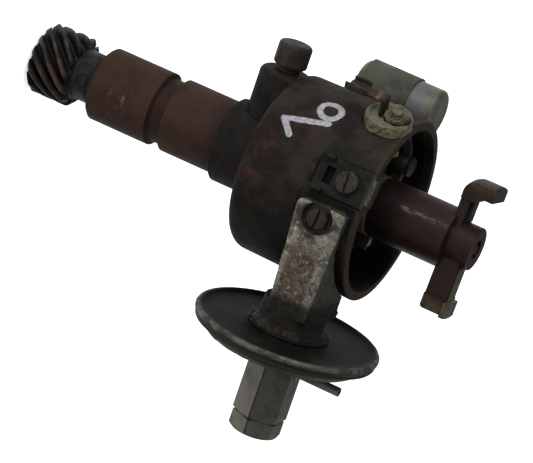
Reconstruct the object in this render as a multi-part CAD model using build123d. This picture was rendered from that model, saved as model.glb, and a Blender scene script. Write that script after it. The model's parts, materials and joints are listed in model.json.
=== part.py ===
from build123d import *
import math
import os

os.makedirs("parts", exist_ok=True)

# All sizes in mm. +Z runs up the shaft towards the rotor, +X towards the
# vacuum unit, and z = 0 is the shoulder that seats on the engine block.

# Clearances
RUN = 0.05            # radial running fit
GAP = 0.3             # free gap between neighbouring pieces
FIT = 0.15            # radial play of a pin in a slotted eye

# Shank and bowl casting
SHANK_R = 13.5
SHANK_LOW = -51.3
GROOVE_LOW = -27.2
GROOVE_HIGH = -21.2
GROOVE_R = 11.8
COLLAR_R = 15.5
BOWL_RIM = 65.0
BOWL_RIM_R = 33.5
LEDGE_DEEP = 18.0
GOVERNOR_DEEP = 25.0
FLOOR_THICK = 5.0
LEDGE_Z = BOWL_RIM - LEDGE_DEEP
FLOOR_Z = LEDGE_Z - GOVERNOR_DEEP
BOWL_BACK = FLOOR_Z - FLOOR_THICK
BOWL_BACK_R = 32.4
BOWL_CORNER = 5.0
GOVERNOR_R = 26.5
MOUTH_R = 29.6
REGISTER_R = 30.2
REGISTER_DEEP = 3.0
BUSH_R = 8.0
RELIEF_R = 8.6
BUSH_LONG = 22.0

# Shaft
SHAFT_R = 6.35
SPINDLE_R = 4.0
GOV_PLATE_RISE = 3.5
GOV_PLATE_THICK = 1.5
SPINDLE_RISE = 25.0
GOV_PLATE_LOW = FLOOR_Z + GOV_PLATE_RISE
SHAFT_SHOULDER = GOV_PLATE_LOW + GOV_PLATE_THICK
SPINDLE_TOP = LEDGE_Z + SPINDLE_RISE

# Helical drive gear
TEETH = 13
GEAR_R = 13.1
ROOT_R = 10.0
PITCH_R = 11.7
HELIX_DEG = 45.0
GEAR_LOW = -76.9
GEAR_HIGH = -60.3
HUB_R = 9.25
WASHER_THICK = 1.3
PIN_R = 2.0

# Centrifugal advance mechanism
GOV_PLATE_R = 23.0
WEIGHT_THICK = 7.0
WEIGHT_IN = 9.8
WEIGHT_OUT = 21.5
WEIGHT_PIVOT_Y = 17.0
WEIGHT_PIN_Y = 8.0
WEIGHT_PIVOT_R = 2.0
WEIGHT_PIN_R = 1.5
YOKE_THICK = 1.8
YOKE_HALF = 14.6
SPRING_Y = 12.4
SPRING_POST_X = 15.5
ADVANCE_DEG = 12.0

# Cam
CAM_BASE_R = 10.9
CAM_LOBE_R = 11.9
CAM_FLAT = 10.2
CAM_RISE = 4.5
CAM_THICK = 8.5
CAM_LOW = LEDGE_Z + CAM_RISE
CAM_HIGH = CAM_LOW + CAM_THICK
SLEEVE_R = 6.0
SLEEVE_FLAT = 5.0
SLEEVE_DROP = 1.0
SLEEVE_TOP = SPINDLE_TOP - SLEEVE_DROP

# Breaker plates and points
PLATE_THICK = 1.6
PLATE_BORE_R = 13.5
COLLAR_THICK = 1.4
MOVING_R = 25.6
PLATE_SCREW_R = 28.0
BREAKER_TURN = -18.5
PIVOT_X = -17.5
PIVOT_Y = 14.5
PIVOT_R = 2.2
ARM_Y = 14.9
ARM_THICK = 2.0
BREAKER_RISE = 7.0
BREAKER_DEEP = 4.0
ARM_LOW = LEDGE_Z + BREAKER_RISE
ARM_HIGH = ARM_LOW + BREAKER_DEEP
CONTACT_X = 12.5
CONTACT_R = 2.2
CONTACT_THICK = 1.2
POINT_GAP = 0.4
HEEL_WIDE = 2.6

# Rotor arm
ROTOR_R = 10.9
ROTOR_LOW = CAM_HIGH + GAP
ROTOR_RISE = 33.0
ROTOR_BAR_DEEP = 7.5
ROTOR_WEB_DEEP = 3.4
ROTOR_BOSS_DEEP = 10.1
ROTOR_TOP = BOWL_RIM + ROTOR_RISE
ROTOR_BAR_LOW = ROTOR_TOP - ROTOR_BOSS_DEEP
ROTOR_BAR_HIGH = ROTOR_BAR_LOW + ROTOR_BAR_DEEP
ROTOR_WEB_HIGH = ROTOR_BAR_LOW + ROTOR_WEB_DEEP
ROTOR_BOSS_R = 7.8
ROTOR_BAR_WIDE = 11.0
ROTOR_PAD_WIDE = 13.0
ROTOR_LONG_R = 25.6
ROTOR_SHORT_R = 23.4
ROTOR_TURN = 175.0
STRIP_THICK = 0.6
SPARK_THICK = 1.4

# Vacuum advance unit
VAC_Y = -26.0
VAC_RISE = 5.0
VAC_Z = LEDGE_Z + VAC_RISE
DISH_X = 45.2
DISH_R = 33.2
DISH_BAND = 4.0
DIA_X = DISH_X + 1.95
SKIN = 1.0
BACK_DEEP = 8.2
HEX_FLATS = 16.8
HEX_FAR = 77.4
PLUG_FAR = 84.2
PLUG_R = 8.4
THROAT_R = 11.8
ROD_THICK = 1.2
ROD_WIDE = 5.0
PEG_R = 1.5
PEG_RADIUS = 25.5
PLATE_TURN_DEG = 8.0
PIPE_R = 1.65
PIPE_BORE_R = 1.0
PIPE_ROOT_R = 1.4
PIPE_BEAD_R = 2.5
PIPE_BEAD_HIGH = 0.8
PIPE_X = 58.5
PIPE_REACH = 24.8
ARM_PLATE_Y = -37.0
PAD_Y = -32.4
ARM_RISE = 0.8
ARM_MID = VAC_Z + ARM_RISE
ARM_HALF = 9.6
ARM_HALF_FAR = 7.4
ARM_FOOT = 9.8
ARM_FOOT_FAR = 11.4
ARM_FOOT_Y = -16.0
ARM_START_X = -2.8
ARM_WALL = 2.2

# Clip brackets
CLIP_DEG = -111.0
CLIP_WIDE = 13.0
CLIP_THICK = 1.3
CLIP_REACH = 20.0
CLIP_PAD_R = 32.3
CLIP_SCREW_DROP = 8.0
CLIP_LOW = BOWL_RIM - CLIP_REACH
CLIP_SCREW_Z = BOWL_RIM - CLIP_SCREW_DROP

# Low tension terminal
TERM_DEG = -160.0
TERM_DROP = 8.0
TERM_Z = BOWL_RIM - TERM_DROP
TERM_R = 8.5
TERM_THICK = 4.5
TERM_SEAT = 32.6
TERM_NECK = 4.0
TERM_POCKET = 2.0
TERM_FLOOR = TERM_SEAT + TERM_THICK - TERM_POCKET
LUG_WIDE = 4.8
LUG_THICK = 0.8
LUG_RISE = 5.7
STUD_OFF = 2.6
STUD_R = 2.0

# Condenser
CAN_DEG = 133.6
CAN_R = 9.0
CAN_CLEAR = 0.714
CAN_DROP = 5.4
CAN_LONG = 31.1
CAN_HIGH = BOWL_RIM - CAN_DROP
CAN_LOW = CAN_HIGH - CAN_LONG
STRAP_THICK = 0.7
STRAP_INSET = 2.5
STRAP_WIDE = 18.5
STRAP_LOW = CAN_LOW + STRAP_INSET
STRAP_HIGH = STRAP_LOW + STRAP_WIDE
STRAP_SCREW_DEG = 106.0
STRAP_LIFT = 0.15
STRAP_TAIL_THICK = 1.0
STRAP_SCREW_LONG = 5.6

# Grease cup
CUP_DROP = 4.4
CUP_Z = BOWL_BACK - CUP_DROP
CUP_BOSS_R = 9.4
CUP_BOSS_END = 31.0
CUP_R = 6.0
CUP_CAP_START = 33.0
CUP_CAP_END = 41.4


def spun(points, rounds=()):
    """Solid of revolution about Z from (radius, height) points."""
    face = make_face(Polyline(*points, close=True))
    for index, radius in rounds:
        corner = face.vertices().sort_by_distance((*points[index], 0))[:1]
        face = fillet(corner, radius)
    return revolve(Plane.XZ * face, axis=Axis.Z)


def rod(radius, low, high):
    """Cylinder on Z between two heights."""
    return Pos(0, 0, low) * Cylinder(radius, high - low, align=(Align.CENTER, Align.CENTER, Align.MIN))


def tube(outer, inner, low, high):
    return rod(outer, low, high) - rod(inner, low - 1, high + 1)


def block(x0, x1, y0, y1, z0, z1):
    return Pos((x0 + x1) / 2, (y0 + y1) / 2, (z0 + z1) / 2) * Box(x1 - x0, y1 - y0, z1 - z0)


def outward(angle, height=0):
    """Frame whose Z points radially outward at an angle, with X along the shaft."""
    a = math.radians(angle)
    return Plane(origin=(0, 0, height), x_dir=(0, 0, 1), z_dir=(math.cos(a), math.sin(a), 0))


def vacuum_axis():
    """Frame on the vacuum unit's axis, Z towards its spring housing."""
    return Plane(origin=(0, VAC_Y, VAC_Z), x_dir=(0, 0, 1), z_dir=(1, 0, 0))


def slotted_head(radius, height, slot_wide, slot_deep):
    """Cheese head seated on z = 0 with an eased edge and a screwdriver slot."""
    head = rod(radius, 0, height)
    head = chamfer(head.edges().group_by(Axis.Z)[-1], height * 0.3)
    slot = block(-radius - 1, radius + 1, -slot_wide / 2, slot_wide / 2, height - slot_deep, height + 1)
    return head - slot


def screw(head_r, head_h, shank_r, shank_long, slot_wide, slot_deep):
    return slotted_head(head_r, head_h, slot_wide, slot_deep) + rod(shank_r, -shank_long, 0.2)


def bowl_radius(z):
    """Outside radius of the drafted bowl wall at a height."""
    low = BOWL_BACK + BOWL_CORNER
    return BOWL_BACK_R + (z - low) * (BOWL_RIM_R - BOWL_BACK_R) / (BOWL_RIM - low)


def can_axis():
    """Centre of the condenser, clear of the bowl at its widest beside the can."""
    reach = max(bowl_radius(CAN_LOW), bowl_radius(CAN_HIGH)) + CAN_R + CAN_CLEAR
    a = math.radians(CAN_DEG)
    return reach * math.cos(a), reach * math.sin(a)


def strap_tail_radius():
    """Inside radius of the strap's tail, just off the drafted wall."""
    return max(bowl_radius(STRAP_LOW + 2), bowl_radius(STRAP_HIGH - 2)) + STRAP_LIFT


def housing():
    outline = [
        (BUSH_R, SHANK_LOW),
        (SHANK_R - 0.9, SHANK_LOW),
        (SHANK_R, SHANK_LOW + 0.9),
        (SHANK_R, GROOVE_LOW),
        (GROOVE_R, GROOVE_LOW + 0.8),
        (GROOVE_R, GROOVE_HIGH - 0.8),
        (SHANK_R, GROOVE_HIGH),
        (SHANK_R, 0),
        (COLLAR_R - 0.6, 0),
        (COLLAR_R, 0.6),
        (COLLAR_R, BOWL_BACK),
        (BOWL_BACK_R, BOWL_BACK),
        (BOWL_RIM_R, BOWL_RIM),
        (REGISTER_R, BOWL_RIM),
        (REGISTER_R, BOWL_RIM - REGISTER_DEEP),
        (MOUTH_R, BOWL_RIM - REGISTER_DEEP),
        (MOUTH_R, LEDGE_Z),
        (GOVERNOR_R, LEDGE_Z),
        (GOVERNOR_R, FLOOR_Z),
        (BUSH_R, FLOOR_Z),
    ]
    rounds = [(10, 3.5), (11, BOWL_CORNER), (12, 0.7), (18, 3.0)]
    body = spun(outline, rounds)

    boss = outward(180, CUP_Z) * rod(CUP_BOSS_R, BUSH_R + 2, CUP_BOSS_END)
    boss = fillet(boss.edges().sort_by(Axis.X)[:1], 2.2)
    body = body + boss

    relief = rod(RELIEF_R, SHANK_LOW + BUSH_LONG, FLOOR_Z - BUSH_LONG)
    drilling = outward(180, CUP_Z) * rod(2.2, 0, CUP_BOSS_END + 1)
    seat = outward(180, CUP_Z) * rod(3.4, CUP_BOSS_END - 6, CUP_BOSS_END + 1)
    body = body - relief - (drilling - rod(BUSH_R, -60, 60)) - seat

    # Flat pads for the vacuum arm and the two clip brackets
    body = body - block(-4.5, 9.5, -45, PAD_Y, ARM_MID - 11, ARM_MID + 10.8)
    for turn in (0, 180):
        pad = outward(CLIP_DEG + turn) * block(
            CLIP_LOW - 1, BOWL_RIM + 1, -CLIP_WIDE / 2 - 0.4, CLIP_WIDE / 2 + 0.4, CLIP_PAD_R, 40
        )
        hole = outward(CLIP_DEG + turn, CLIP_SCREW_Z) * rod(2.05, 25, 40)
        body = body - pad - hole

    # Window for the pull rod, tapped hole for the vacuum arm's screw
    window = block(6, 30, VAC_Y - 3.4, VAC_Y + 3.4, VAC_Z - 3, VAC_Z + 3)
    arm_hole = Pos(2.2, 0, ARM_MID - 0.4) * Rot(90, 0, 0) * rod(2.05, 25, 45)
    body = body - window - arm_hole

    # Spot face and hole for the low tension insulator
    face = outward(TERM_DEG, TERM_Z) * rod(TERM_R + 0.6, TERM_SEAT, 45)
    hole = outward(TERM_DEG, TERM_Z) * rod(5.5, 25, 45)
    body = body - face - hole

    # Tapped holes for the strap screw and the base plate screws
    strap_hole = strap_tail_radius() + STRAP_TAIL_THICK - STRAP_SCREW_LONG - 0.6
    body = body - outward(STRAP_SCREW_DEG, (STRAP_LOW + STRAP_HIGH) / 2) * rod(1.95, strap_hole, 45)
    for angle in (20, 200):
        body = body - Rot(0, 0, angle) * Pos(PLATE_SCREW_R, 0, 0) * rod(1.05, LEDGE_Z - 7, LEDGE_Z + 1)
    return body


def bush(low):
    body = tube(BUSH_R, SHAFT_R + RUN, low, low + BUSH_LONG)
    return chamfer(body.edges().group_by(Axis.Z)[-1] + body.edges().group_by(Axis.Z)[0], 0.3)


def drive_shaft():
    outline = [
        (0, GEAR_LOW - 0.6),
        (SHAFT_R - 0.8, GEAR_LOW - 0.6),
        (SHAFT_R, GEAR_LOW + 0.2),
        (SHAFT_R, GOV_PLATE_LOW),
        (SHAFT_R - 1.2, GOV_PLATE_LOW),
        (SHAFT_R - 1.2, SHAFT_SHOULDER),
        (SPINDLE_R, SHAFT_SHOULDER),
        (SPINDLE_R, SPINDLE_TOP - 0.6),
        (SPINDLE_R - 0.6, SPINDLE_TOP),
        (0, SPINDLE_TOP),
    ]
    body = spun(outline)
    cross = Pos(0, 0, (GEAR_HIGH + SHANK_LOW) / 2) * Rot(90, 0, 0) * rod(PIN_R, -20, 20)
    tapped = rod(1.65, SPINDLE_TOP - 12, SPINDLE_TOP + 1)
    return body - cross - tapped


def tooth_space_profile():
    """One transverse section of the gear, teeth with straight flanks and eased tips."""
    points = []
    step = 360 / TEETH
    for i in range(TEETH):
        a = i * step
        for radius, share in ((ROOT_R, -0.36), (PITCH_R, -0.25), (GEAR_R, -0.13),
                              (GEAR_R, 0.13), (PITCH_R, 0.25), (ROOT_R, 0.36)):
            t = math.radians(a + share * step)
            points.append((radius * math.cos(t), radius * math.sin(t)))
    return make_face(Polyline(*points, close=True))


def helical_gear():
    """Right-hand crossed-axis gear: the section is carried round a helix."""
    face_wide = GEAR_HIGH - GEAR_LOW
    twist = math.degrees(face_wide * math.tan(math.radians(HELIX_DEG)) / PITCH_R)
    section = Pos(0, 0, GEAR_LOW) * tooth_space_profile()
    blank = Solid.extrude_linear_with_rotation(
        section.face(), center=(0, 0, GEAR_LOW), normal=(0, 0, face_wide), angle=twist
    )
    eased = spun([
        (0, GEAR_LOW),
        (GEAR_R - 2.2, GEAR_LOW),
        (GEAR_R + 0.4, GEAR_LOW + 2.2),
        (GEAR_R + 0.4, GEAR_HIGH - 1.6),
        (GEAR_R - 1.6, GEAR_HIGH),
        (0, GEAR_HIGH),
    ])
    hub_top = SHANK_LOW - GAP - WASHER_THICK
    hub = rod(HUB_R, GEAR_HIGH - 0.5, hub_top)
    hub = chamfer(hub.edges().group_by(Axis.Z)[-1], 0.8)
    body = (blank & eased) + hub - rod(SHAFT_R, GEAR_LOW - 1, hub_top + 1)
    cross = Pos(0, 0, (GEAR_HIGH + SHANK_LOW) / 2) * Rot(90, 0, 0) * rod(PIN_R, -20, 20)
    return body - cross


def gear_pin():
    long = HUB_R + 0.5
    pin = rod(PIN_R, -long, long)
    pin = chamfer(pin.edges().group_by(Axis.Z)[0] + pin.edges().group_by(Axis.Z)[-1], 0.5)
    return Pos(0, 0, (GEAR_HIGH + SHANK_LOW) / 2) * Rot(90, 0, 0) * pin


def thrust_washer():
    return tube(HUB_R + 0.9, SHAFT_R, SHANK_LOW - GAP - WASHER_THICK, SHANK_LOW - GAP)


def governor_plate():
    """Plate staked to the shaft, with the weight pivots and spring posts riveted in."""
    body = tube(GOV_PLATE_R, SHAFT_R - 1.2, GOV_PLATE_LOW, SHAFT_SHOULDER)
    weight_top = SHAFT_SHOULDER + GAP + WEIGHT_THICK
    spring_z = weight_top + GAP + YOKE_THICK + 2.6
    for turn in (0, 180):
        pivot = Pos(0, WEIGHT_PIVOT_Y, 0) * rod(WEIGHT_PIVOT_R, GOV_PLATE_LOW, weight_top + 0.8)
        post = Pos(-SPRING_POST_X, SPRING_Y, 0) * rod(1.3, GOV_PLATE_LOW, spring_z + 1.8)
        body = body + Rot(0, 0, turn) * (pivot + post)
    return body


def flyweight():
    """Quarter-ring weight on its pivot, with the lug and pin that turn the yoke."""
    low = SHAFT_SHOULDER + GAP
    quarter = tube(WEIGHT_OUT, WEIGHT_IN, low, low + WEIGHT_THICK)
    quarter = quarter & block(0.5, 30, 0.5, 30, low - 1, low + WEIGHT_THICK + 1)
    eye = Pos(0, WEIGHT_PIVOT_Y, 0) * rod(4.0, low, low + WEIGHT_THICK)
    lug = block(-2.4, 2.4, WEIGHT_PIN_Y, WEIGHT_PIVOT_Y, low, low + WEIGHT_THICK)
    nose = Pos(0, WEIGHT_PIN_Y, 0) * rod(2.4, low, low + WEIGHT_THICK)
    pin = Pos(0, WEIGHT_PIN_Y, 0) * rod(WEIGHT_PIN_R, low + 1, low + WEIGHT_THICK + GAP + YOKE_THICK + 0.8)
    body = quarter + eye + lug + nose
    body = body - Pos(0, WEIGHT_PIVOT_Y, 0) * rod(WEIGHT_PIVOT_R + RUN, low - 1, low + WEIGHT_THICK + 1)
    return body + pin


def cam():
    """Cam sleeve, four-lobed cam and the slotted yoke that the weights turn."""
    yoke_low = SHAFT_SHOULDER + GAP + WEIGHT_THICK + GAP
    yoke_high = yoke_low + YOKE_THICK
    blade = block(-5.2, 5.2, -YOKE_HALF, YOKE_HALF, yoke_low, yoke_high) & rod(YOKE_HALF, yoke_low, yoke_high)
    disc = rod(9.0, yoke_low, yoke_high)
    slot_r = WEIGHT_PIN_R + FIT
    yoke = blade + disc
    spring_z = yoke_high + 2.6
    for turn in (0, 180):
        slot = block(-slot_r, slot_r, WEIGHT_PIN_Y - 0.4, WEIGHT_PIN_Y + 1.2, yoke_low - 1, yoke_high + 1)
        slot = slot + Pos(0, WEIGHT_PIN_Y - 0.4, 0) * rod(slot_r, yoke_low - 1, yoke_high + 1)
        slot = slot + Pos(0, WEIGHT_PIN_Y + 1.2, 0) * rod(slot_r, yoke_low - 1, yoke_high + 1)
        ear = Pos(0, SPRING_Y + 0.6, 0) * rod(1.1, yoke_low, spring_z + 1.4)
        yoke = yoke - Rot(0, 0, turn) * slot + Rot(0, 0, turn) * ear
    sleeve = rod(SLEEVE_R, yoke_high - 0.2, SLEEVE_TOP)
    key = block(-20, 20, -20, -SLEEVE_FLAT, CAM_HIGH, SLEEVE_TOP + 1)
    square = extrude(Pos(0, 0, CAM_LOW) * Rectangle(CAM_FLAT * 2, CAM_FLAT * 2), CAM_HIGH - CAM_LOW)
    lobes = (square & rod(CAM_LOBE_R, CAM_LOW, CAM_HIGH)) + rod(CAM_BASE_R, CAM_LOW, CAM_HIGH)
    lobes = Rot(0, 0, BREAKER_TURN) * lobes
    body = yoke + (sleeve - key) + lobes
    return body - rod(SPINDLE_R + RUN, yoke_low - 1, SLEEVE_TOP + 1)


def cam_screw():
    head = Pos(0, 0, SPINDLE_TOP + 0.9) * slotted_head(3.2, 2.0, 0.9, 1.0)
    washer = rod(5.0, SPINDLE_TOP, SPINDLE_TOP + 0.9)
    return head + washer + rod(1.6, SPINDLE_TOP - 10, SPINDLE_TOP + 1)


def governor_spring():
    """Close-wound tension spring from a plate post to a yoke ear, hooked at both ends."""
    yoke_high = SHAFT_SHOULDER + GAP + WEIGHT_THICK + GAP + YOKE_THICK
    z = yoke_high + 2.6
    wire = 0.5
    coil_r = 2.0
    left = -SPRING_POST_X + 3.4
    right = -4.0
    turns = round((right - left) / (2 * wire))
    pitch = (right - left) / turns
    ridges = [(0, 0)]
    for i in range(turns):
        ridges.append((coil_r - 0.1, i * pitch))
        ridges.append((coil_r + wire - 0.1, (i + 0.5) * pitch))
    ridges.append((coil_r - 0.1, right - left))
    ridges.append((0, right - left))
    body = Pos(left, SPRING_Y + 0.3, z) * Rot(0, 90, 0) * spun(ridges)
    for x0, post, y_post, post_r in ((left, -SPRING_POST_X, SPRING_Y, 1.3), (right, 0, SPRING_Y + 0.6, 1.1)):
        ring = Pos(post, y_post, 0) * tube(post_r + 1.0, post_r + 0.15, z - wire, z + wire)
        side = 1 if post < x0 else -1
        near = post + side * (post_r + 0.6)
        leg = block(min(near, x0), max(near, x0), y_post - 0.4, y_post + 0.4, z - 0.4, z + 0.4)
        body = body + ring + leg
    return body


def base_plate():
    """Fixed breaker plate on the bowl's ledge, with the bearing collar."""
    body = tube(MOUTH_R - 0.1, PLATE_BORE_R, LEDGE_Z, LEDGE_Z + PLATE_THICK)
    body = body + tube(PLATE_BORE_R + COLLAR_THICK, PLATE_BORE_R, LEDGE_Z, LEDGE_Z + 2 * PLATE_THICK + GAP)
    for angle in (20, 200):
        body = body - Rot(0, 0, angle) * Pos(PLATE_SCREW_R, 0, 0) * rod(1.15, LEDGE_Z - 1, LEDGE_Z + 5)
    return body


def base_screw(angle):
    top = LEDGE_Z + PLATE_THICK
    return Rot(0, 0, angle) * Pos(PLATE_SCREW_R, 0, top) * screw(1.5, 1.3, 1.0, 7.0, 0.5, 0.6)


def peg_place():
    a = math.radians(-90 - PLATE_TURN_DEG / 2)
    return PEG_RADIUS * math.cos(a), PEG_RADIUS * math.sin(a)


def moving_plate():
    """Plate turned by the vacuum unit; carries the points and the rod's peg."""
    low = LEDGE_Z + PLATE_THICK + GAP
    high = low + PLATE_THICK
    inner = PLATE_BORE_R + COLLAR_THICK + RUN
    body = tube(MOVING_R, inner, low, high)
    px, py = peg_place()
    ear = Pos(px, py, 0) * rod(2.9, low, high)
    peg = Pos(px, py, 0) * rod(PEG_R, low, VAC_Z + ROD_THICK / 2 + 1.2)
    return body + ear + peg


def points_frame():
    return Rot(0, 0, BREAKER_TURN)


def pivot_post():
    low = LEDGE_Z + 2 * PLATE_THICK + GAP
    post = rod(PIVOT_R, low, ARM_HIGH + 1.6) + rod(3.2, low, low + 1.0)
    cap = rod(3.75, ARM_HIGH + 1.6, ARM_HIGH + 2.9)
    cap = chamfer(cap.edges().group_by(Axis.Z)[-1], 0.6)
    return points_frame() * Pos(PIVOT_X, PIVOT_Y, 0) * (post + cap)


def breaker_arm():
    hub_low = LEDGE_Z + 2 * PLATE_THICK + GAP + 1.0 + GAP
    hub = Pos(PIVOT_X, PIVOT_Y, 0) * rod(3.6, hub_low, ARM_HIGH + 1.3)
    bar = block(PIVOT_X + 1.5, CONTACT_X + 2.4, ARM_Y, ARM_Y + ARM_THICK, ARM_LOW, ARM_HIGH)
    bar = chamfer(bar.edges().filter_by(Axis.Y).group_by(Axis.X)[-1], 1.4)
    body = hub + bar
    body = body - Pos(PIVOT_X, PIVOT_Y, 0) * rod(PIVOT_R + RUN, hub_low - 1, ARM_HIGH + 3)
    return points_frame() * body


def breaker_heel():
    low = CAM_LOBE_R + GAP
    body = block(-HEEL_WIDE / 2, HEEL_WIDE / 2, low, ARM_Y, ARM_LOW - 0.5, ARM_HIGH + 0.5)
    tip = body.edges().filter_by(Axis.Z).group_by(Axis.Y)[0]
    return points_frame() * fillet(tip, 0.7)


def moving_contact():
    body = Pos(CONTACT_X, ARM_Y, (ARM_LOW + ARM_HIGH) / 2) * Rot(90, 0, 0) * rod(CONTACT_R, 0, CONTACT_THICK)
    return points_frame() * body


def fixed_contact():
    y = ARM_Y - CONTACT_THICK - POINT_GAP
    body = Pos(CONTACT_X, y, (ARM_LOW + ARM_HIGH) / 2) * Rot(90, 0, 0) * rod(CONTACT_R, 0, 1.0)
    return points_frame() * body


def contact_bracket():
    """Adjustable foot and upright tab that carry the fixed contact."""
    low = LEDGE_Z + 2 * PLATE_THICK + GAP
    back = ARM_Y - CONTACT_THICK - POINT_GAP - 1.0
    tab = block(CONTACT_X - 3, CONTACT_X + 3, back - 1.2, back, low, ARM_HIGH + 0.4)
    outline = make_face(Polyline(
        (CONTACT_X - 4, back - 1.2), (CONTACT_X + 3, back - 1.2), (CONTACT_X + 6.5, back + 3),
        (CONTACT_X + 3.5, back + 8), (CONTACT_X - 4, back + 8), close=True))
    foot = extrude(Pos(0, 0, low) * outline, 1.2)
    hole = Pos(CONTACT_X + 2.2, back + 3.8, 0) * rod(1.35, low - 1, low + 3)
    return points_frame() * (tab + foot - hole)


def contact_screw():
    low = LEDGE_Z + 2 * PLATE_THICK + GAP + 1.2
    back = ARM_Y - CONTACT_THICK - POINT_GAP - 1.0
    body = Pos(CONTACT_X + 2.2, back + 3.8, low) * screw(2.3, 1.3, 1.3, 1.15, 0.6, 0.7)
    return points_frame() * body


def breaker_spring():
    """Leaf spring from the arm round the pivot to the insulated terminal."""
    turn = math.radians(-BREAKER_TURN)
    end = (-26.2, -3.9)
    end = (end[0] * math.cos(turn) - end[1] * math.sin(turn), end[0] * math.sin(turn) + end[1] * math.cos(turn))
    near = (-27.0, 4.5)
    near = (near[0] * math.cos(turn) - near[1] * math.sin(turn), near[0] * math.sin(turn) + near[1] * math.cos(turn))
    top = ARM_Y + ARM_THICK + 0.4
    path = Spline((-5, top), (-9, top + 0.1), (-18.5, top + 2.2), (-23.6, 14.2), near, end)
    outline = trace(path, line_width=0.35)
    body = extrude(Pos(0, 0, ARM_LOW + 0.3) * outline, ARM_HIGH - ARM_LOW - 0.6)
    return points_frame() * body


def terminal_block():
    """Inner insulator with the lead block behind the low tension stud."""
    neck_end = TERM_SEAT - TERM_NECK
    body = block(-5.0, 4.0, -4.3, 4.3, neck_end - 4.2, neck_end)
    body = fillet(body.edges().filter_by(Axis.Z), 0.8)
    body = body - Pos(STUD_OFF, 0, 0) * rod(STUD_R, 20, 40)
    return outward(TERM_DEG, TERM_Z) * body


def terminal_insulator():
    disc = rod(TERM_R, TERM_SEAT, TERM_SEAT + TERM_THICK)
    disc = fillet(disc.edges().group_by(Axis.Z)[-1], 1.0)
    neck = rod(5.4, TERM_SEAT - TERM_NECK, TERM_SEAT + 0.5)
    top = TERM_SEAT + TERM_THICK + 1
    pocket = rod(4.7, TERM_FLOOR, top) + block(-5.9, 0, -LUG_WIDE / 2 - GAP, LUG_WIDE / 2 + GAP, TERM_FLOOR, top)
    body = disc + neck - Pos(STUD_OFF, 0, 0) * (pocket + rod(STUD_R, 20, 50))
    return outward(TERM_DEG, TERM_Z) * body


def terminal_stud():
    body = rod(STUD_R, 24.0, TERM_FLOOR + 4.6)
    body = chamfer(body.edges().group_by(Axis.Z)[-1], 0.5)
    head = extrude(Pos(0, 0, 22.4) * RegularPolygon(3.4, 6), 2.0)
    return outward(TERM_DEG, TERM_Z) * Pos(STUD_OFF, 0, 0) * (body + head)


def terminal_washer():
    washer = tube(4.4, STUD_R, TERM_FLOOR, TERM_FLOOR + 0.8)
    return outward(TERM_DEG, TERM_Z) * Pos(STUD_OFF, 0, 0) * washer


def terminal_nut():
    low = TERM_FLOOR + 0.8 + LUG_THICK
    nut = extrude(Pos(0, 0, low) * RegularPolygon(3.9, 6), 2.2)
    nut = nut & spun([(0, low - 1), (3.4, low - 1), (4.2, low + 0.6), (4.2, low + 1.6), (3.4, low + 2.4), (0, low + 2.4)])
    return outward(TERM_DEG, TERM_Z) * Pos(STUD_OFF, 0, 0) * (nut - rod(STUD_R, 20, 50))


def terminal_lug():
    """Crimp lug under the nut, turned up and back along the bowl."""
    low = TERM_FLOOR + 0.8
    top = TERM_SEAT + TERM_THICK + LUG_RISE
    half = LUG_WIDE / 2
    ring = tube(4.1, STUD_R, low, low + LUG_THICK)
    riser = block(-5.6, LUG_THICK - 5.6, -half, half, low, top)
    toe = block(-5.6, -3.0, -half, half, low, low + LUG_THICK)
    strip = block(-19.0, -4.8, -half, half, top - LUG_THICK, top)
    near_wing = block(-19.6, -11.5, -half - LUG_THICK, -half, top - LUG_THICK, top + 1.5)
    far_wing = block(-18.6, -12.5, half, half + LUG_THICK, top - LUG_THICK, top + 1.5)
    body = ring + toe + riser + strip + near_wing + far_wing
    body = body - rod(STUD_R, low - 1, low + 2)
    return outward(TERM_DEG, TERM_Z) * Pos(STUD_OFF, 0, 0) * body


def condenser_can():
    body = Pos(*can_axis(), 0) * rod(CAN_R, CAN_LOW, CAN_HIGH)
    body = fillet(body.edges().group_by(Axis.Z)[-1], 1.6)
    body = fillet(body.edges().group_by(Axis.Z)[0], 2.6)
    return body


def condenser_strap():
    """Band round the can with a tail on the bowl wall."""
    band = Pos(*can_axis(), 0) * tube(CAN_R + STRAP_THICK, CAN_R, STRAP_LOW, STRAP_HIGH)
    low = STRAP_LOW + 2
    high = STRAP_HIGH - 2
    inner = strap_tail_radius()
    outer = inner + STRAP_TAIL_THICK
    start = STRAP_SCREW_DEG - 9
    sweep_deg = CAN_DEG - start
    arc = make_face(Polyline((inner, low), (outer, low), (outer, high), (inner, high), close=True))
    tail = revolve(Plane.XZ * arc, axis=Axis.Z, revolution_arc=sweep_deg)
    tail = Rot(0, 0, start) * tail
    body = band + (tail - Pos(*can_axis(), 0) * rod(CAN_R + 0.1, CAN_LOW, CAN_HIGH))
    hole = outward(STRAP_SCREW_DEG, (STRAP_LOW + STRAP_HIGH) / 2) * rod(2.0, 20, 50)
    return body - hole


def strap_screw():
    z = (STRAP_LOW + STRAP_HIGH) / 2
    seat = strap_tail_radius() + STRAP_TAIL_THICK
    return outward(STRAP_SCREW_DEG, z) * Pos(0, 0, seat) * screw(3.3, 2.1, 1.9, STRAP_SCREW_LONG, 0.9, 1.0)


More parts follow.
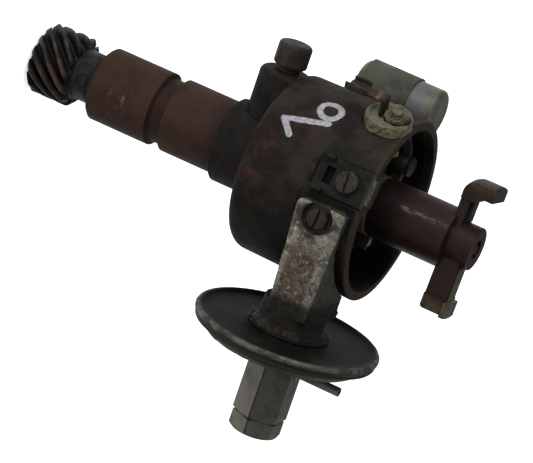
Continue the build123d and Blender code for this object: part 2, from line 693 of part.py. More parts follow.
def clip_bracket(angle):
    """Folded plate that carries a cap clip; its toe hooks over the rim."""
    plate = block(CLIP_LOW, BOWL_RIM + 0.1, -CLIP_WIDE / 2, CLIP_WIDE / 2, CLIP_PAD_R, CLIP_PAD_R + CLIP_THICK)
    slot = block(CLIP_LOW + 3.0, CLIP_LOW + 6.2, -3.0, 3.0, CLIP_PAD_R - 1, 40)
    strap = block(BOWL_RIM - 6, BOWL_RIM + CLIP_THICK, -4.6, 4.6, CLIP_PAD_R, CLIP_PAD_R + CLIP_THICK)
    toe = block(BOWL_RIM, BOWL_RIM + CLIP_THICK, -4.6, 4.6, 28.4, CLIP_PAD_R + CLIP_THICK)
    body = plate + strap + toe
    outer = body.edges().filter_by(Axis.Y).sort_by_distance((BOWL_RIM + CLIP_THICK, 0, CLIP_PAD_R + CLIP_THICK))[:1]
    body = fillet(outer, 1.0)
    ears = []
    for side in (-1, 1):
        y0 = side * (CLIP_WIDE / 2 - CLIP_THICK)
        y1 = side * CLIP_WIDE / 2
        ears.append(block(CLIP_LOW, CLIP_LOW + 5.0, min(y0, y1), max(y0, y1), CLIP_PAD_R, CLIP_PAD_R + 4.2))
    body = body - slot + ears[0] + ears[1]
    body = body - Pos(CLIP_SCREW_Z, 0, 0) * rod(2.1, 20, 50)
    return outward(angle) * body


def clip_screw(angle):
    body = Pos(CLIP_SCREW_Z, 0, CLIP_PAD_R + CLIP_THICK) * Rot(0, 0, 70) * screw(3.9, 2.4, 2.0, 5.4, 1.0, 1.3)
    return outward(angle) * body


def arm_section(x, top_half, foot_half, top_y):
    """Trapezoid across the arm: narrow outside, wide towards the bowl."""
    plane = Plane(origin=(x, 0, ARM_MID), x_dir=(0, 1, 0), z_dir=(1, 0, 0))
    return plane * make_face(Polyline(
        (top_y, -top_half), (top_y, top_half), (ARM_FOOT_Y, foot_half), (ARM_FOOT_Y, -foot_half), close=True))


def vacuum_bracket():
    """Cast channel arm, tapered both ways, from the bowl's pad to the dish's throat."""
    near_x = 13.0
    end_x = DISH_X - 6.5
    lean = (ARM_HALF - ARM_HALF_FAR) / (end_x - ARM_START_X)
    near_half = ARM_HALF - lean * (near_x - ARM_START_X)
    lap = 0.6
    outline = make_face(Polyline(
        (ARM_START_X, ARM_HALF), (ARM_START_X, -ARM_HALF),
        (near_x + lap, lean * lap - near_half), (near_x + lap, near_half - lean * lap), close=True))
    plate = extrude(Plane(origin=(0, PAD_Y, ARM_MID), x_dir=(1, 0, 0), z_dir=(0, -1, 0)) * outline, PAD_Y - ARM_PLATE_Y)
    plate = fillet(plate.edges().filter_by(Axis.Y).group_by(Axis.X)[0], 2.2)
    outer = plate.edges().filter_by(lambda e: e.center().Y < ARM_PLATE_Y + 0.01 and e.center().X < near_x)
    plate = fillet(outer, 0.8)
    shell = loft([arm_section(near_x, near_half, ARM_FOOT, ARM_PLATE_Y),
                  arm_section(end_x, ARM_HALF_FAR, ARM_FOOT_FAR, ARM_PLATE_Y)])
    ridge = shell.edges().filter_by(lambda e: e.center().Y < ARM_PLATE_Y + 0.01 and e.length > 20)
    shell = fillet(ridge, 0.8)
    hollow = loft([arm_section(near_x - 0.5, near_half - ARM_WALL, ARM_FOOT - ARM_WALL, PAD_Y),
                   arm_section(end_x - 3.5, ARM_HALF_FAR - ARM_WALL, ARM_FOOT_FAR - ARM_WALL, PAD_Y)])
    body = plate + shell
    throat = vacuum_axis() * rod(THROAT_R, end_x - 3.5, DISH_X - 0.2)
    flare = vacuum_axis() * Pos(0, 0, DISH_X - 3.2) * Cone(
        THROAT_R, THROAT_R + 2.4, 3.0, align=(Align.CENTER, Align.CENTER, Align.MIN))
    body = body + throat + flare
    body = body - vacuum_axis() * rod(THROAT_R - 3.2, end_x - 8, DISH_X + 1) - hollow
    clear = rod(bowl_radius(ARM_MID + ARM_FOOT) + 0.3, ARM_MID - 20, ARM_MID + 20)
    body = body - (clear - block(-10, 12.5, -50, PAD_Y, ARM_MID - 21, ARM_MID + 21))
    recess = Pos(2.2, 0, ARM_MID - 0.4) * Rot(90, 0, 0) * rod(5.4, -ARM_PLATE_Y - 2.4, 50)
    hole = Pos(2.2, 0, ARM_MID - 0.4) * Rot(90, 0, 0) * rod(2.1, 20, 50)
    return body - recess - hole


def vacuum_screw():
    seat = -ARM_PLATE_Y - 2.4
    body = screw(3.6, 2.3, 2.0, seat - 29.9, 1.0, 1.2)
    return Pos(2.2, -seat, ARM_MID - 0.4) * Rot(90, 0, 0) * Rot(0, 0, 25) * body


def dish_front():
    """Pressed front shell facing the bowl, its edge rolled over the back shell."""
    x = DISH_X
    outline = [
        (THROAT_R - 3.2, x - 0.2),
        (THROAT_R + 1.5, x - 0.2),
        (THROAT_R + 4.0, x + 0.6),
        (DISH_R - 3.0, x + 0.3),
        (DISH_R - 0.6, x - 0.6),
        (DISH_R, x + 0.4),
        (DISH_R, x + DISH_BAND - 0.6),
        (DISH_R - 0.7, x + DISH_BAND),
        (DISH_R - 3.4, x + DISH_BAND),
        (DISH_R - 3.4, x + DISH_BAND - 0.7),
        (DISH_R - 0.9, x + DISH_BAND - 0.7),
        (DISH_R - 0.9, x + 0.9),
        (DISH_R - 3.2, x + 1.3),
        (THROAT_R + 4.0, x + 1.6),
        (THROAT_R + 1.0, x + 0.8),
        (THROAT_R - 3.2, x + 0.8),
    ]
    return vacuum_axis() * spun(outline)


def dish_back():
    """Domed back shell, brazed to the spring housing."""
    x = DIA_X + 0.25
    far = DISH_X + BACK_DEEP
    lip = DISH_R - 1.0
    outline = [
        (lip, x),
        (lip, x + 0.8),
        (DISH_R - 4.2, x + 0.9),
        (DISH_R - 7.2, far - 1.6),
        (DISH_R - 9.6, far),
        (HEX_FLATS / 2 - 1.6, far),
        (HEX_FLATS / 2 - 1.6, far - SKIN),
        (DISH_R - 10.0, far - SKIN),
        (DISH_R - 8.1, far - 2.2),
        (DISH_R - 5.2, x),
    ]
    return vacuum_axis() * spun(outline, [(3, 1.4), (4, 1.6)])


def diaphragm():
    """Clamped fabric-and-rubber diaphragm with one rolled convolution."""
    x = DIA_X
    outline = [
        (2.2, x + 0.9),
        (15.0, x + 0.9),
        (18.0, x + 2.6),
        (21.5, x + 2.6),
        (24.5, x - 0.25),
        (DISH_R - 1.0, x - 0.25),
        (DISH_R - 1.0, x + 0.25),
        (24.8, x + 0.25),
        (21.8, x + 3.1),
        (17.7, x + 3.1),
        (14.8, x + 1.4),
        (2.2, x + 1.4),
    ]
    return vacuum_axis() * spun(outline)


def pull_rod():
    """Flat rod with an eye on the plate's peg, riveted through the diaphragm's cups."""
    px, py = peg_place()
    x = DIA_X
    low = VAC_Z - ROD_THICK / 2
    high = VAC_Z + ROD_THICK / 2
    strip = block(px, x - 0.6, VAC_Y - ROD_WIDE / 2, VAC_Y + ROD_WIDE / 2, low, high)
    eye = Pos(px, py, 0) * rod(3.1, low, high)
    hole = Pos(px, py, 0) * rod(PEG_R + FIT, low - 1, high + 1)
    front_cup = vacuum_axis() * rod(7.0, x - 0.1, x + 0.85)
    rivet = vacuum_axis() * rod(2.15, x - 0.8, x + 3.0)
    back_cup = vacuum_axis() * rod(6.4, x + 1.45, x + 2.2)
    return strip + eye + front_cup + rivet + back_cup - hole


def spring_housing():
    """Hexagonal spring barrel behind the dish."""
    near = DISH_X + BACK_DEEP
    hexagon = Rot(0, 0, 30) * RegularPolygon(HEX_FLATS / 2, 6, major_radius=False, rotation=0)
    body = extrude(Pos(0, 0, near) * hexagon, HEX_FAR - near)
    body = body - rod(HEX_FLATS / 2 - 1.6, near - 1, HEX_FAR + 1)
    hole = Pos(0, 0, PIPE_X) * Rot(0, 90, 0) * rod(PIPE_ROOT_R, 2, 30)
    return vacuum_axis() * (body - hole)


def end_plug():
    """Stop plug in the far end of the barrel."""
    hexagon = Rot(0, 0, 30) * RegularPolygon(HEX_FLATS / 2 - 0.35, 6, major_radius=False)
    body = extrude(Pos(0, 0, HEX_FAR + 0.9) * hexagon, PLUG_FAR - HEX_FAR - 0.9)
    body = body & spun([
        (0, HEX_FAR), (PLUG_R + 1.6, HEX_FAR), (PLUG_R + 1.6, PLUG_FAR - 1.5),
        (PLUG_R - 0.4, PLUG_FAR), (0, PLUG_FAR)])
    body = body + rod(PLUG_R - 0.6, HEX_FAR, HEX_FAR + 1.0)
    body = body + rod(HEX_FLATS / 2 - 1.65, HEX_FAR - 4, HEX_FAR + 0.4)
    return vacuum_axis() * body


def vacuum_spring():
    """Compression coil between the diaphragm and the plug; the wire is drawn with four flats."""
    near = DIA_X + 2.3
    far = HEX_FAR - 4.3
    wire = 0.6
    long = far - near - 2 * wire - 0.1
    path = Helix(pitch=long / 5, height=long, radius=5.0)
    start = Plane(origin=path @ 0, z_dir=path % 0)
    coil = sweep(start * RegularPolygon(wire, 4), path=path, is_frenet=True)
    return vacuum_axis() * Pos(0, 0, near + wire + 0.05) * coil


def vacuum_pipe():
    """Suction pipe: spigot through the barrel's wall, brazed bead, plain tube."""
    flat = HEX_FLATS / 2
    pipe = rod(PIPE_ROOT_R, flat - 1.55, flat + 0.1) + rod(PIPE_R, flat, PIPE_REACH)
    bead = rod(PIPE_BEAD_R, flat, flat + PIPE_BEAD_HIGH)
    bead = chamfer(bead.edges().group_by(Axis.Z)[-1], 0.4)
    body = pipe + bead - rod(PIPE_BORE_R, flat - 3, PIPE_REACH + 1)
    return vacuum_axis() * Pos(0, 0, PIPE_X) * Rot(0, 90, 0) * body


def grease_cup_base():
    start = CUP_BOSS_END - 6
    body = tube(3.35, 1.4, start, CUP_BOSS_END + 0.3)
    collar = tube(4.3, 1.4, CUP_BOSS_END + 0.15, CUP_CAP_START - 0.1)
    stem = tube(4.0, 1.4, CUP_CAP_START - 0.2, CUP_CAP_END - 3.0)
    return outward(180, CUP_Z) * (body + collar + stem)


def grease_cup_cap():
    """Screw-down cap that feeds grease when it is turned."""
    body = rod(CUP_R, CUP_CAP_START, CUP_CAP_END)
    body = fillet(body.edges().group_by(Axis.Z)[-1], 1.3)
    body = chamfer(body.edges().group_by(Axis.Z)[0], 0.6)
    body = body - rod(4.0 + RUN, CUP_CAP_START - 1, CUP_CAP_END - 1.4)
    return outward(180, CUP_Z) * body


def rotor():
    """Moulded rotor: long tube, a thick arm, a webbed arm with a hooked end, centre boss."""
    tube_body = spun([
        (0, ROTOR_LOW), (ROTOR_R - 0.4, ROTOR_LOW), (ROTOR_R, ROTOR_LOW + 0.4),
        (ROTOR_R, ROTOR_BAR_LOW + 1), (0, ROTOR_BAR_LOW + 1)])
    boss = rod(ROTOR_BOSS_R, ROTOR_BAR_LOW, ROTOR_TOP)
    boss = fillet(boss.edges().group_by(Axis.Z)[-1], 0.5)
    half = ROTOR_BAR_WIDE / 2
    pad = ROTOR_PAD_WIDE / 2
    long_r = ROTOR_LONG_R
    short_r = ROTOR_SHORT_R
    low = ROTOR_BAR_LOW
    arm = block(-long_r + 4, 0, -half, half, low, ROTOR_BAR_HIGH)
    end = block(-long_r - 1, -long_r + 6.2, -pad, pad, low, ROTOR_BAR_HIGH)
    end = end & rod(long_r, low, ROTOR_BAR_HIGH)
    end = fillet(end.edges().filter_by(GeomType.CIRCLE).group_by(Axis.Z)[0], 1.2)
    web = block(0, short_r - 4, -half, half, low, ROTOR_WEB_HIGH)
    post = block(short_r - 7.6, short_r + 1, -pad, pad, low, ROTOR_TOP - 4.6)
    hook = block(short_r - 5.6, short_r + 1, -pad, pad, low, ROTOR_TOP + 1.2)
    crown = spun([
        (0, low), (short_r, low), (short_r, ROTOR_TOP + 1.2), (0, ROTOR_TOP + 1.2)], [(1, 4.0), (2, 1.0)])
    raised = (post + hook) & crown
    body = tube_body + arm + end + web + raised + boss
    seat = rod(3.4, ROTOR_TOP - 2.2, ROTOR_TOP + 1)
    body = Rot(0, 0, ROTOR_TURN) * (body - seat)
    bore = rod(SLEEVE_R + 0.12, ROTOR_LOW - 1, SPINDLE_TOP + 4.5)
    flat = block(-20, 20, -20, -SLEEVE_FLAT - 0.12, ROTOR_LOW - 2, SLEEVE_TOP + 0.1)
    bore = bore - flat + rod(SLEEVE_R + 0.12, SLEEVE_TOP, SPINDLE_TOP + 4.5)
    return body - bore


def rotor_electrode():
    """Brass strip on the thick arm, with the thicker sparking end past the tip."""
    low = ROTOR_BAR_HIGH
    reach = ROTOR_LONG_R
    half = ROTOR_PAD_WIDE / 2 - 0.4
    strip = block(-reach + 4, -ROTOR_BOSS_R - 0.02, -2.6, 2.6, low, low + STRIP_THICK)
    end = block(-reach - 2, -reach + 5.4, -half, half, low, low + SPARK_THICK)
    end = end & rod(reach + 0.8, low, low + SPARK_THICK)
    return Rot(0, 0, ROTOR_TURN) * (strip + end)


def rotor_spring():
    """Short leaf on the webbed arm, from the centre boss to the post."""
    post = ROTOR_SHORT_R - 7.6
    leaf = block(ROTOR_BOSS_R + 0.02, post - 0.02, -2.8, 2.8, ROTOR_WEB_HIGH, ROTOR_WEB_HIGH + 1.0)
    return Rot(0, 0, ROTOR_TURN) * leaf


def rotor_button():
    """Centre contact button seated in the rotor's boss."""
    button = rod(3.3, ROTOR_TOP - 2.2, ROTOR_TOP - 1.2)
    dome = fillet(rod(2.0, ROTOR_TOP - 1.3, ROTOR_TOP - 0.2).edges().group_by(Axis.Z)[-1], 0.8)
    return button + dome


PIECES = {
    "housing": housing,
    "bush_lower": lambda: bush(SHANK_LOW),
    "bush_upper": lambda: bush(FLOOR_Z - BUSH_LONG),
    "drive_shaft": drive_shaft,
    "drive_gear": helical_gear,
    "gear_pin": gear_pin,
    "thrust_washer": thrust_washer,
    "governor_plate": governor_plate,
    "flyweight_a": flyweight,
    "flyweight_b": lambda: Rot(0, 0, 180) * flyweight(),
    "governor_spring_a": governor_spring,
    "governor_spring_b": lambda: Rot(0, 0, 180) * governor_spring(),
    "cam": cam,
    "cam_screw": cam_screw,
    "base_plate": base_plate,
    "base_screw_a": lambda: base_screw(20),
    "base_screw_b": lambda: base_screw(200),
    "moving_plate": moving_plate,
    "pivot_post": pivot_post,
    "breaker_arm": breaker_arm,
    "breaker_heel": breaker_heel,
    "moving_contact": moving_contact,
    "fixed_contact": fixed_contact,
    "contact_bracket": contact_bracket,
    "contact_screw": contact_screw,
    "breaker_spring": breaker_spring,
    "terminal_block": terminal_block,
    "terminal_insulator": terminal_insulator,
    "terminal_stud": terminal_stud,
    "terminal_washer": terminal_washer,
    "terminal_nut": terminal_nut,
    "terminal_lug": terminal_lug,
    "condenser_can": condenser_can,
    "condenser_strap": condenser_strap,
    "strap_screw": strap_screw,
    "clip_bracket_a": lambda: clip_bracket(CLIP_DEG),
    "clip_bracket_b": lambda: clip_bracket(CLIP_DEG + 180),
    "clip_screw_a": lambda: clip_screw(CLIP_DEG),
    "clip_screw_b": lambda: clip_screw(CLIP_DEG + 180),
    "vacuum_bracket": vacuum_bracket,
    "vacuum_screw": vacuum_screw,
    "dish_front": dish_front,
    "dish_back": dish_back,
    "diaphragm": diaphragm,
    "pull_rod": pull_rod,
    "spring_housing": spring_housing,
    "end_plug": end_plug,
    "vacuum_spring": vacuum_spring,
    "vacuum_pipe": vacuum_pipe,
    "grease_cup_base": grease_cup_base,
    "grease_cup_cap": grease_cup_cap,
    "rotor": rotor,
    "rotor_electrode": rotor_electrode,
    "rotor_spring": rotor_spring,
    "rotor_button": rotor_button,
}

for name, make in PIECES.items():
    shape = make()
    export_step(shape, f"parts/{name}.step")
    print(name, round(sum(s.volume for s in shape.solids())))
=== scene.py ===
# %% [markdown]
# # An ignition distributor, dressed for the camera
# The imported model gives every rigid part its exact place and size. This lesson
# keeps that frame, sets up a camera and soft light, works out a small kit for
# procedural finishes, and then models the pieces whose small forms matter most:
# screws, folded plates, the rolled rim, gear teeth, springs and moulded edges.

# %% Load the frame
import json
import math

import bpy
from mathutils import Matrix, Vector


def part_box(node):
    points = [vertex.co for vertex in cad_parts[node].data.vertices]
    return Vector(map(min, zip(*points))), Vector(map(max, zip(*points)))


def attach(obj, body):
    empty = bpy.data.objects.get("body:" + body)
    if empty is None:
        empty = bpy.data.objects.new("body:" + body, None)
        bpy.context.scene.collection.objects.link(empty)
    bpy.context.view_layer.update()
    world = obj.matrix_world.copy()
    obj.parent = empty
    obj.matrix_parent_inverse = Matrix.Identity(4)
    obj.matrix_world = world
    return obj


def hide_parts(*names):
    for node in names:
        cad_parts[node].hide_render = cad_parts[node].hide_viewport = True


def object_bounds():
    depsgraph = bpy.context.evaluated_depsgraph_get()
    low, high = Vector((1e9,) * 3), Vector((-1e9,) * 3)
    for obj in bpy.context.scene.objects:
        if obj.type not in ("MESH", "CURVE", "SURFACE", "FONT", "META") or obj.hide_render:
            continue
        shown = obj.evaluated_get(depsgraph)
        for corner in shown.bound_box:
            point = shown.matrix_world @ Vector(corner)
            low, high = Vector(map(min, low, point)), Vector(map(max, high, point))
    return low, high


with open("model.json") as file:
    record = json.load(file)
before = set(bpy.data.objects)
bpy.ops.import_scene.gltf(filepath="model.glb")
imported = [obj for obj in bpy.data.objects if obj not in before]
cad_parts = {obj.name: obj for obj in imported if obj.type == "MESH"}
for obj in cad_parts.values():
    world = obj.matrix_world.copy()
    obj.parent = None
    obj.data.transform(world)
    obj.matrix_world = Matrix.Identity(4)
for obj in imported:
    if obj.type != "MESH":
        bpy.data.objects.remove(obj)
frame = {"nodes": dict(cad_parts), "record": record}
nodes = frame["nodes"]
cad_low, cad_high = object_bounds()

# %% [markdown]
# ## Millimetres
# The real part was drawn in millimetres and Blender works in metres. One
# constant keeps the numbers readable: 13.5 * MM is the shank's radius.

# %% Units and shared sizes
MM = 0.001
PER_METRE = 1000


def middle_of(node):
    """The middle of a node's box, in millimetres."""
    return [(a + b) / 2 / MM for a, b in zip(*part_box(node))]


RIM_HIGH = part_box("housing")[1].z / MM
DISH_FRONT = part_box("dish_front")[0].x / MM
_, DISH_Y, DISH_Z = middle_of("dish_front")
print("rim at", round(RIM_HIGH, 1), "mm, dish front at", round(DISH_FRONT, 1), "mm")

# %% [markdown]
# ## Camera
# A long lens far away keeps the round bowl round. The camera is described the
# way a photographer would say it: how far round, how high, how much it is
# rolled, and what it looks at. The three axes are then worked out with cross
# products, which is easier to trust than a chain of rotations.

# %% Camera
CAMERA_ROUND = math.radians(-17.5)
CAMERA_RISE = math.radians(18.383)
CAMERA_ROLL = math.radians(114.486)
CAMERA_TARGET = Vector((24.8, -1.0, 24.5)) * MM
CAMERA_FAR = 1.3
LENS_MM = 251.86

back = Vector((
    math.sin(CAMERA_ROUND) * math.cos(CAMERA_RISE),
    -math.cos(CAMERA_ROUND) * math.cos(CAMERA_RISE),
    math.sin(CAMERA_RISE),
))
level_right = Vector((math.cos(CAMERA_ROUND), math.sin(CAMERA_ROUND), 0))
level_up = back.cross(level_right)
right = level_right * math.cos(CAMERA_ROLL) + level_up * math.sin(CAMERA_ROLL)
up = back.cross(right)
bpy.ops.object.camera_add()
camera = bpy.context.object
camera.data.lens = LENS_MM
camera.data.sensor_width = 36
camera.data.clip_start, camera.data.clip_end = 0.05, 20
camera.matrix_world = (
    Matrix.Translation(CAMERA_TARGET + back * CAMERA_FAR)
    @ Matrix((right, up, back)).transposed().to_4x4()
)
bpy.context.scene.camera = camera
print("camera at", [round(v, 3) for v in camera.location])

# %% [markdown]
# ## Floor and light
# The floor is a plain pale sheet that fills the view and glows a little, so that
# shadows stay faint. Four big soft boxes and a pale world give even light: the
# key comes from above the camera's frame, where it lays the long highlight along
# the rotor's tube.

# %% Floor
FLOOR_WIDE = 14
bpy.ops.object.select_all(action="DESELECT")
bpy.ops.mesh.primitive_plane_add(size=FLOOR_WIDE, location=(0, 0, cad_low.z))
floor = bpy.context.object
floor.name = "floor"
floor_finish = bpy.data.materials.new("pale_floor")
floor_finish.use_nodes = True
floor_shader = floor_finish.node_tree.nodes["Principled BSDF"]
floor_shader.inputs["Base Color"].default_value = (0.93, 0.93, 0.93, 1)
floor_shader.inputs["Roughness"].default_value = 0.9
floor_shader.inputs["Specular IOR Level"].default_value = 0.1
floor_shader.inputs["Emission Color"].default_value = (1, 1, 1, 1)
floor_shader.inputs["Emission Strength"].default_value = 0.65
floor.data.materials.append(floor_finish)
print("floor at", round(cad_low.z / MM, 1), "mm")

# %% Soft boxes and world
def soft_box(name, toward, distance, size, power):
    """An area light that faces the part's middle from a direction."""
    middle = (cad_low + cad_high) / 2
    direction = Vector(toward).normalized()
    data = bpy.data.lights.new(name, "AREA")
    data.shape = "DISK"
    data.size = size
    data.energy = power
    light = bpy.data.objects.new(name, data)
    light.location = middle + direction * distance
    light.rotation_mode = "QUATERNION"
    light.rotation_quaternion = direction.to_track_quat("Z", "Y")
    bpy.context.scene.collection.objects.link(light)


soft_box("key", up * 0.75 + back * 0.75 + Vector((0, 0, 0.35)), distance=1.1, size=0.7, power=10)
soft_box("fill", back + right * 0.5 + Vector((0, 0, 0.5)), distance=1.4, size=1.0, power=2.6)
soft_box("top", (0.1, 0.25, 1), distance=1.5, size=1.6, power=6)
soft_box("edge", (0.9, 0.7, 0.5), distance=1.4, size=0.8, power=4)
world = bpy.data.worlds.new("studio")
world.use_nodes = True
sky = world.node_tree.nodes["Background"]
sky.inputs["Color"].default_value = (1, 1, 1, 1)
sky.inputs["Strength"].default_value = 0.28
bpy.context.scene.world = world
bpy.context.scene.view_settings.view_transform = "Standard"

# %% [markdown]
# ## A kit for finishes
# Shader nodes are easier to read as sums. `Wire` wraps one output socket, so
# that `rust * 0.8 + 0.1` adds the Math nodes by itself. `Finish` owns one
# material: its `node` method adds any other node from a type, its settings and
# the values of its sockets.

# %% Wires that do arithmetic
class Wire:
    """One output socket; Python's operators on it add Math nodes."""

    def __init__(self, finish, socket):
        self.finish = finish
        self.socket = socket

    def maths(self, kind, first, second):
        return self.finish.node("ShaderNodeMath", {"operation": kind}, {0: first, 1: second})

    def __add__(self, other):
        return self.maths("ADD", self, other)

    def __radd__(self, other):
        return self.maths("ADD", other, self)

    def __sub__(self, other):
        return self.maths("SUBTRACT", self, other)

    def __rsub__(self, other):
        return self.maths("SUBTRACT", other, self)

    def __mul__(self, other):
        return self.maths("MULTIPLY", self, other)

    def __rmul__(self, other):
        return self.maths("MULTIPLY", other, self)

    def __pow__(self, other):
        return self.maths("POWER", self, other)

    def __abs__(self):
        return self.maths("ABSOLUTE", self, 0)


print("wires ready")

# %% A finish is one material
def paint(red, green, blue):
    """A screen colour from 0 to 255, as the linear colour that shaders use."""
    linear = []
    for value in (red, green, blue):
        share = value / 255
        linear.append(share / 12.92 if share <= 0.04045 else ((share + 0.055) / 1.055) ** 2.4)
    return (*linear, 1)


class Finish:
    """A procedural material, patterned on the part's own millimetres."""

    def __init__(self, name, metallic, specular):
        self.name = name
        self.material = bpy.data.materials.new(name)
        self.material.use_nodes = True
        self.tree = self.material.node_tree
        self.shader = self.tree.nodes["Principled BSDF"]
        self.shader.inputs["Metallic"].default_value = metallic
        self.shader.inputs["Specular IOR Level"].default_value = specular
        self.place = self.node("ShaderNodeTexCoord", output="Object")
        split = self.node("ShaderNodeSeparateXYZ", {}, {0: self.place})
        outputs = split.socket.node.outputs
        self.x, self.y, self.z = (Wire(self, outputs[i]) * PER_METRE for i in range(3))

    def node(self, kind, settings=None, values=None, output=0):
        """Adds any node: its settings first, then its sockets' values or wires."""
        made = self.tree.nodes.new(kind)
        for name, value in (settings or {}).items():
            setattr(made, name, value)
        for name, value in (values or {}).items():
            if isinstance(value, Wire):
                self.tree.links.new(value.socket, made.inputs[name])
            else:
                made.inputs[name].default_value = value
        return Wire(self, made.outputs[output])

    def grain(self, size, detail=4.0, rough=0.6, stretch=(1, 1, 1), shift=0.0):
        """Cloudy noise from 0 to 1 whose blobs are about size millimetres."""
        where = self.node("ShaderNodeMapping", {}, {
            "Vector": self.place, "Scale": stretch, "Location": (shift, shift * 0.7, shift * 1.3)})
        return self.node("ShaderNodeTexNoise", {}, {
            "Vector": where, "Scale": PER_METRE / size, "Detail": detail, "Roughness": rough})

    def between(self, value, low, high):
        """0 below low, 1 above high, smooth between them."""
        return self.node("ShaderNodeMapRange", {"interpolation_type": "SMOOTHSTEP"}, {
            "Value": value, "From Min": low, "From Max": high})

    def below(self, value, low, high):
        """1 below low, 0 above high, smooth between them."""
        return 1 - self.between(value, low, high)

    def band(self, value, start, stop):
        """1 from start to stop, each given as the pair of values that it fades over."""
        return self.between(value, *start) * self.below(value, *stop)

    def mix(self, share, first, second):
        return self.node("ShaderNodeMix", {"data_type": "RGBA"}, {0: share, 6: first, 7: second}, output=2)

    def from_axis(self, across, along, middle_across=0.0, middle_along=0.0):
        """Distance in millimetres from an axis seen end on."""
        a = across - middle_across
        b = along - middle_along
        return (a * a + b * b) ** 0.5

    def strip(self, degrees, half, soft):
        """1 on a strip along the shaft at a turn; half is half its width, soft its border."""
        turn = math.radians(degrees)
        aside = abs(self.y * math.cos(turn) - self.x * math.sin(turn))
        facing = self.between(self.x * math.cos(turn) + self.y * math.sin(turn), 1, 4)
        return facing * self.below(aside, half - soft, half + soft)

    def feed(self, socket, wire):
        self.tree.links.new(wire.socket, self.shader.inputs[socket])

    def bump(self, height, depth):
        """Relief whose full height is depth millimetres."""
        self.feed("Normal", self.node("ShaderNodeBump", {}, {"Height": height, "Distance": depth * MM}))


print("finish kit ready")

# %% [markdown]
# ## Rusty cast iron
# The bowl and shank are one iron casting that has lived near hot oil. Oil keeps
# the bowl nearly black, the turned shank has an even brown film, and loose rust
# breaks out at the bowl's back corner. Masks made from the part's own radius
# and height put each film where it belongs, and noise breaks up the borders.
# Each pair below is the stretch, in millimetres, over which a mask fades.
# Painted shade darkens the bore, the shank's groove, a small patch at the clip
# and the bowl's side away from the key light.

# %% Cast iron finish
BOWL_FILM = paint(33, 30, 25)
SHANK_FILM = paint(48, 33, 27)
COLLAR_FILM = paint(22, 21, 20)
LOOSE_RUST = paint(50, 34, 28)
GREASE_AND_SHADE = paint(12, 12, 11)
CLIP_TURN = -111.0
RUST_TURN = -104
SHADE_TURN = -60
RUB_TURN = -83
SHANK_TOP = (-2.0, 0.5)
COLLAR_LOW, COLLAR_HIGH = (-10, 2), (14, 24)
RUST_LOW, RUST_HIGH = (15, 18), (27, 29.5)
OIL_FROM = (42, 48)
SLOT_SHADE_LOW, SLOT_SHADE_HIGH = (47.6, 48.0), (51.4, 51.8)
SHADE_FROM = (14, 20)
RIM_FROM = (62.5, 64.6)
RUB_LOW, RUB_HIGH = (-43.5, -42), (-36, -34.5)
BOWL_SKIN_R = (22, 31)
GROOVE_SHADE_R = (12.9, 13.3)
BORE_R = (29.2, 30.8)
BORE_FLOOR, BORE_LIP = (21, 24), (63.4, 65.2)


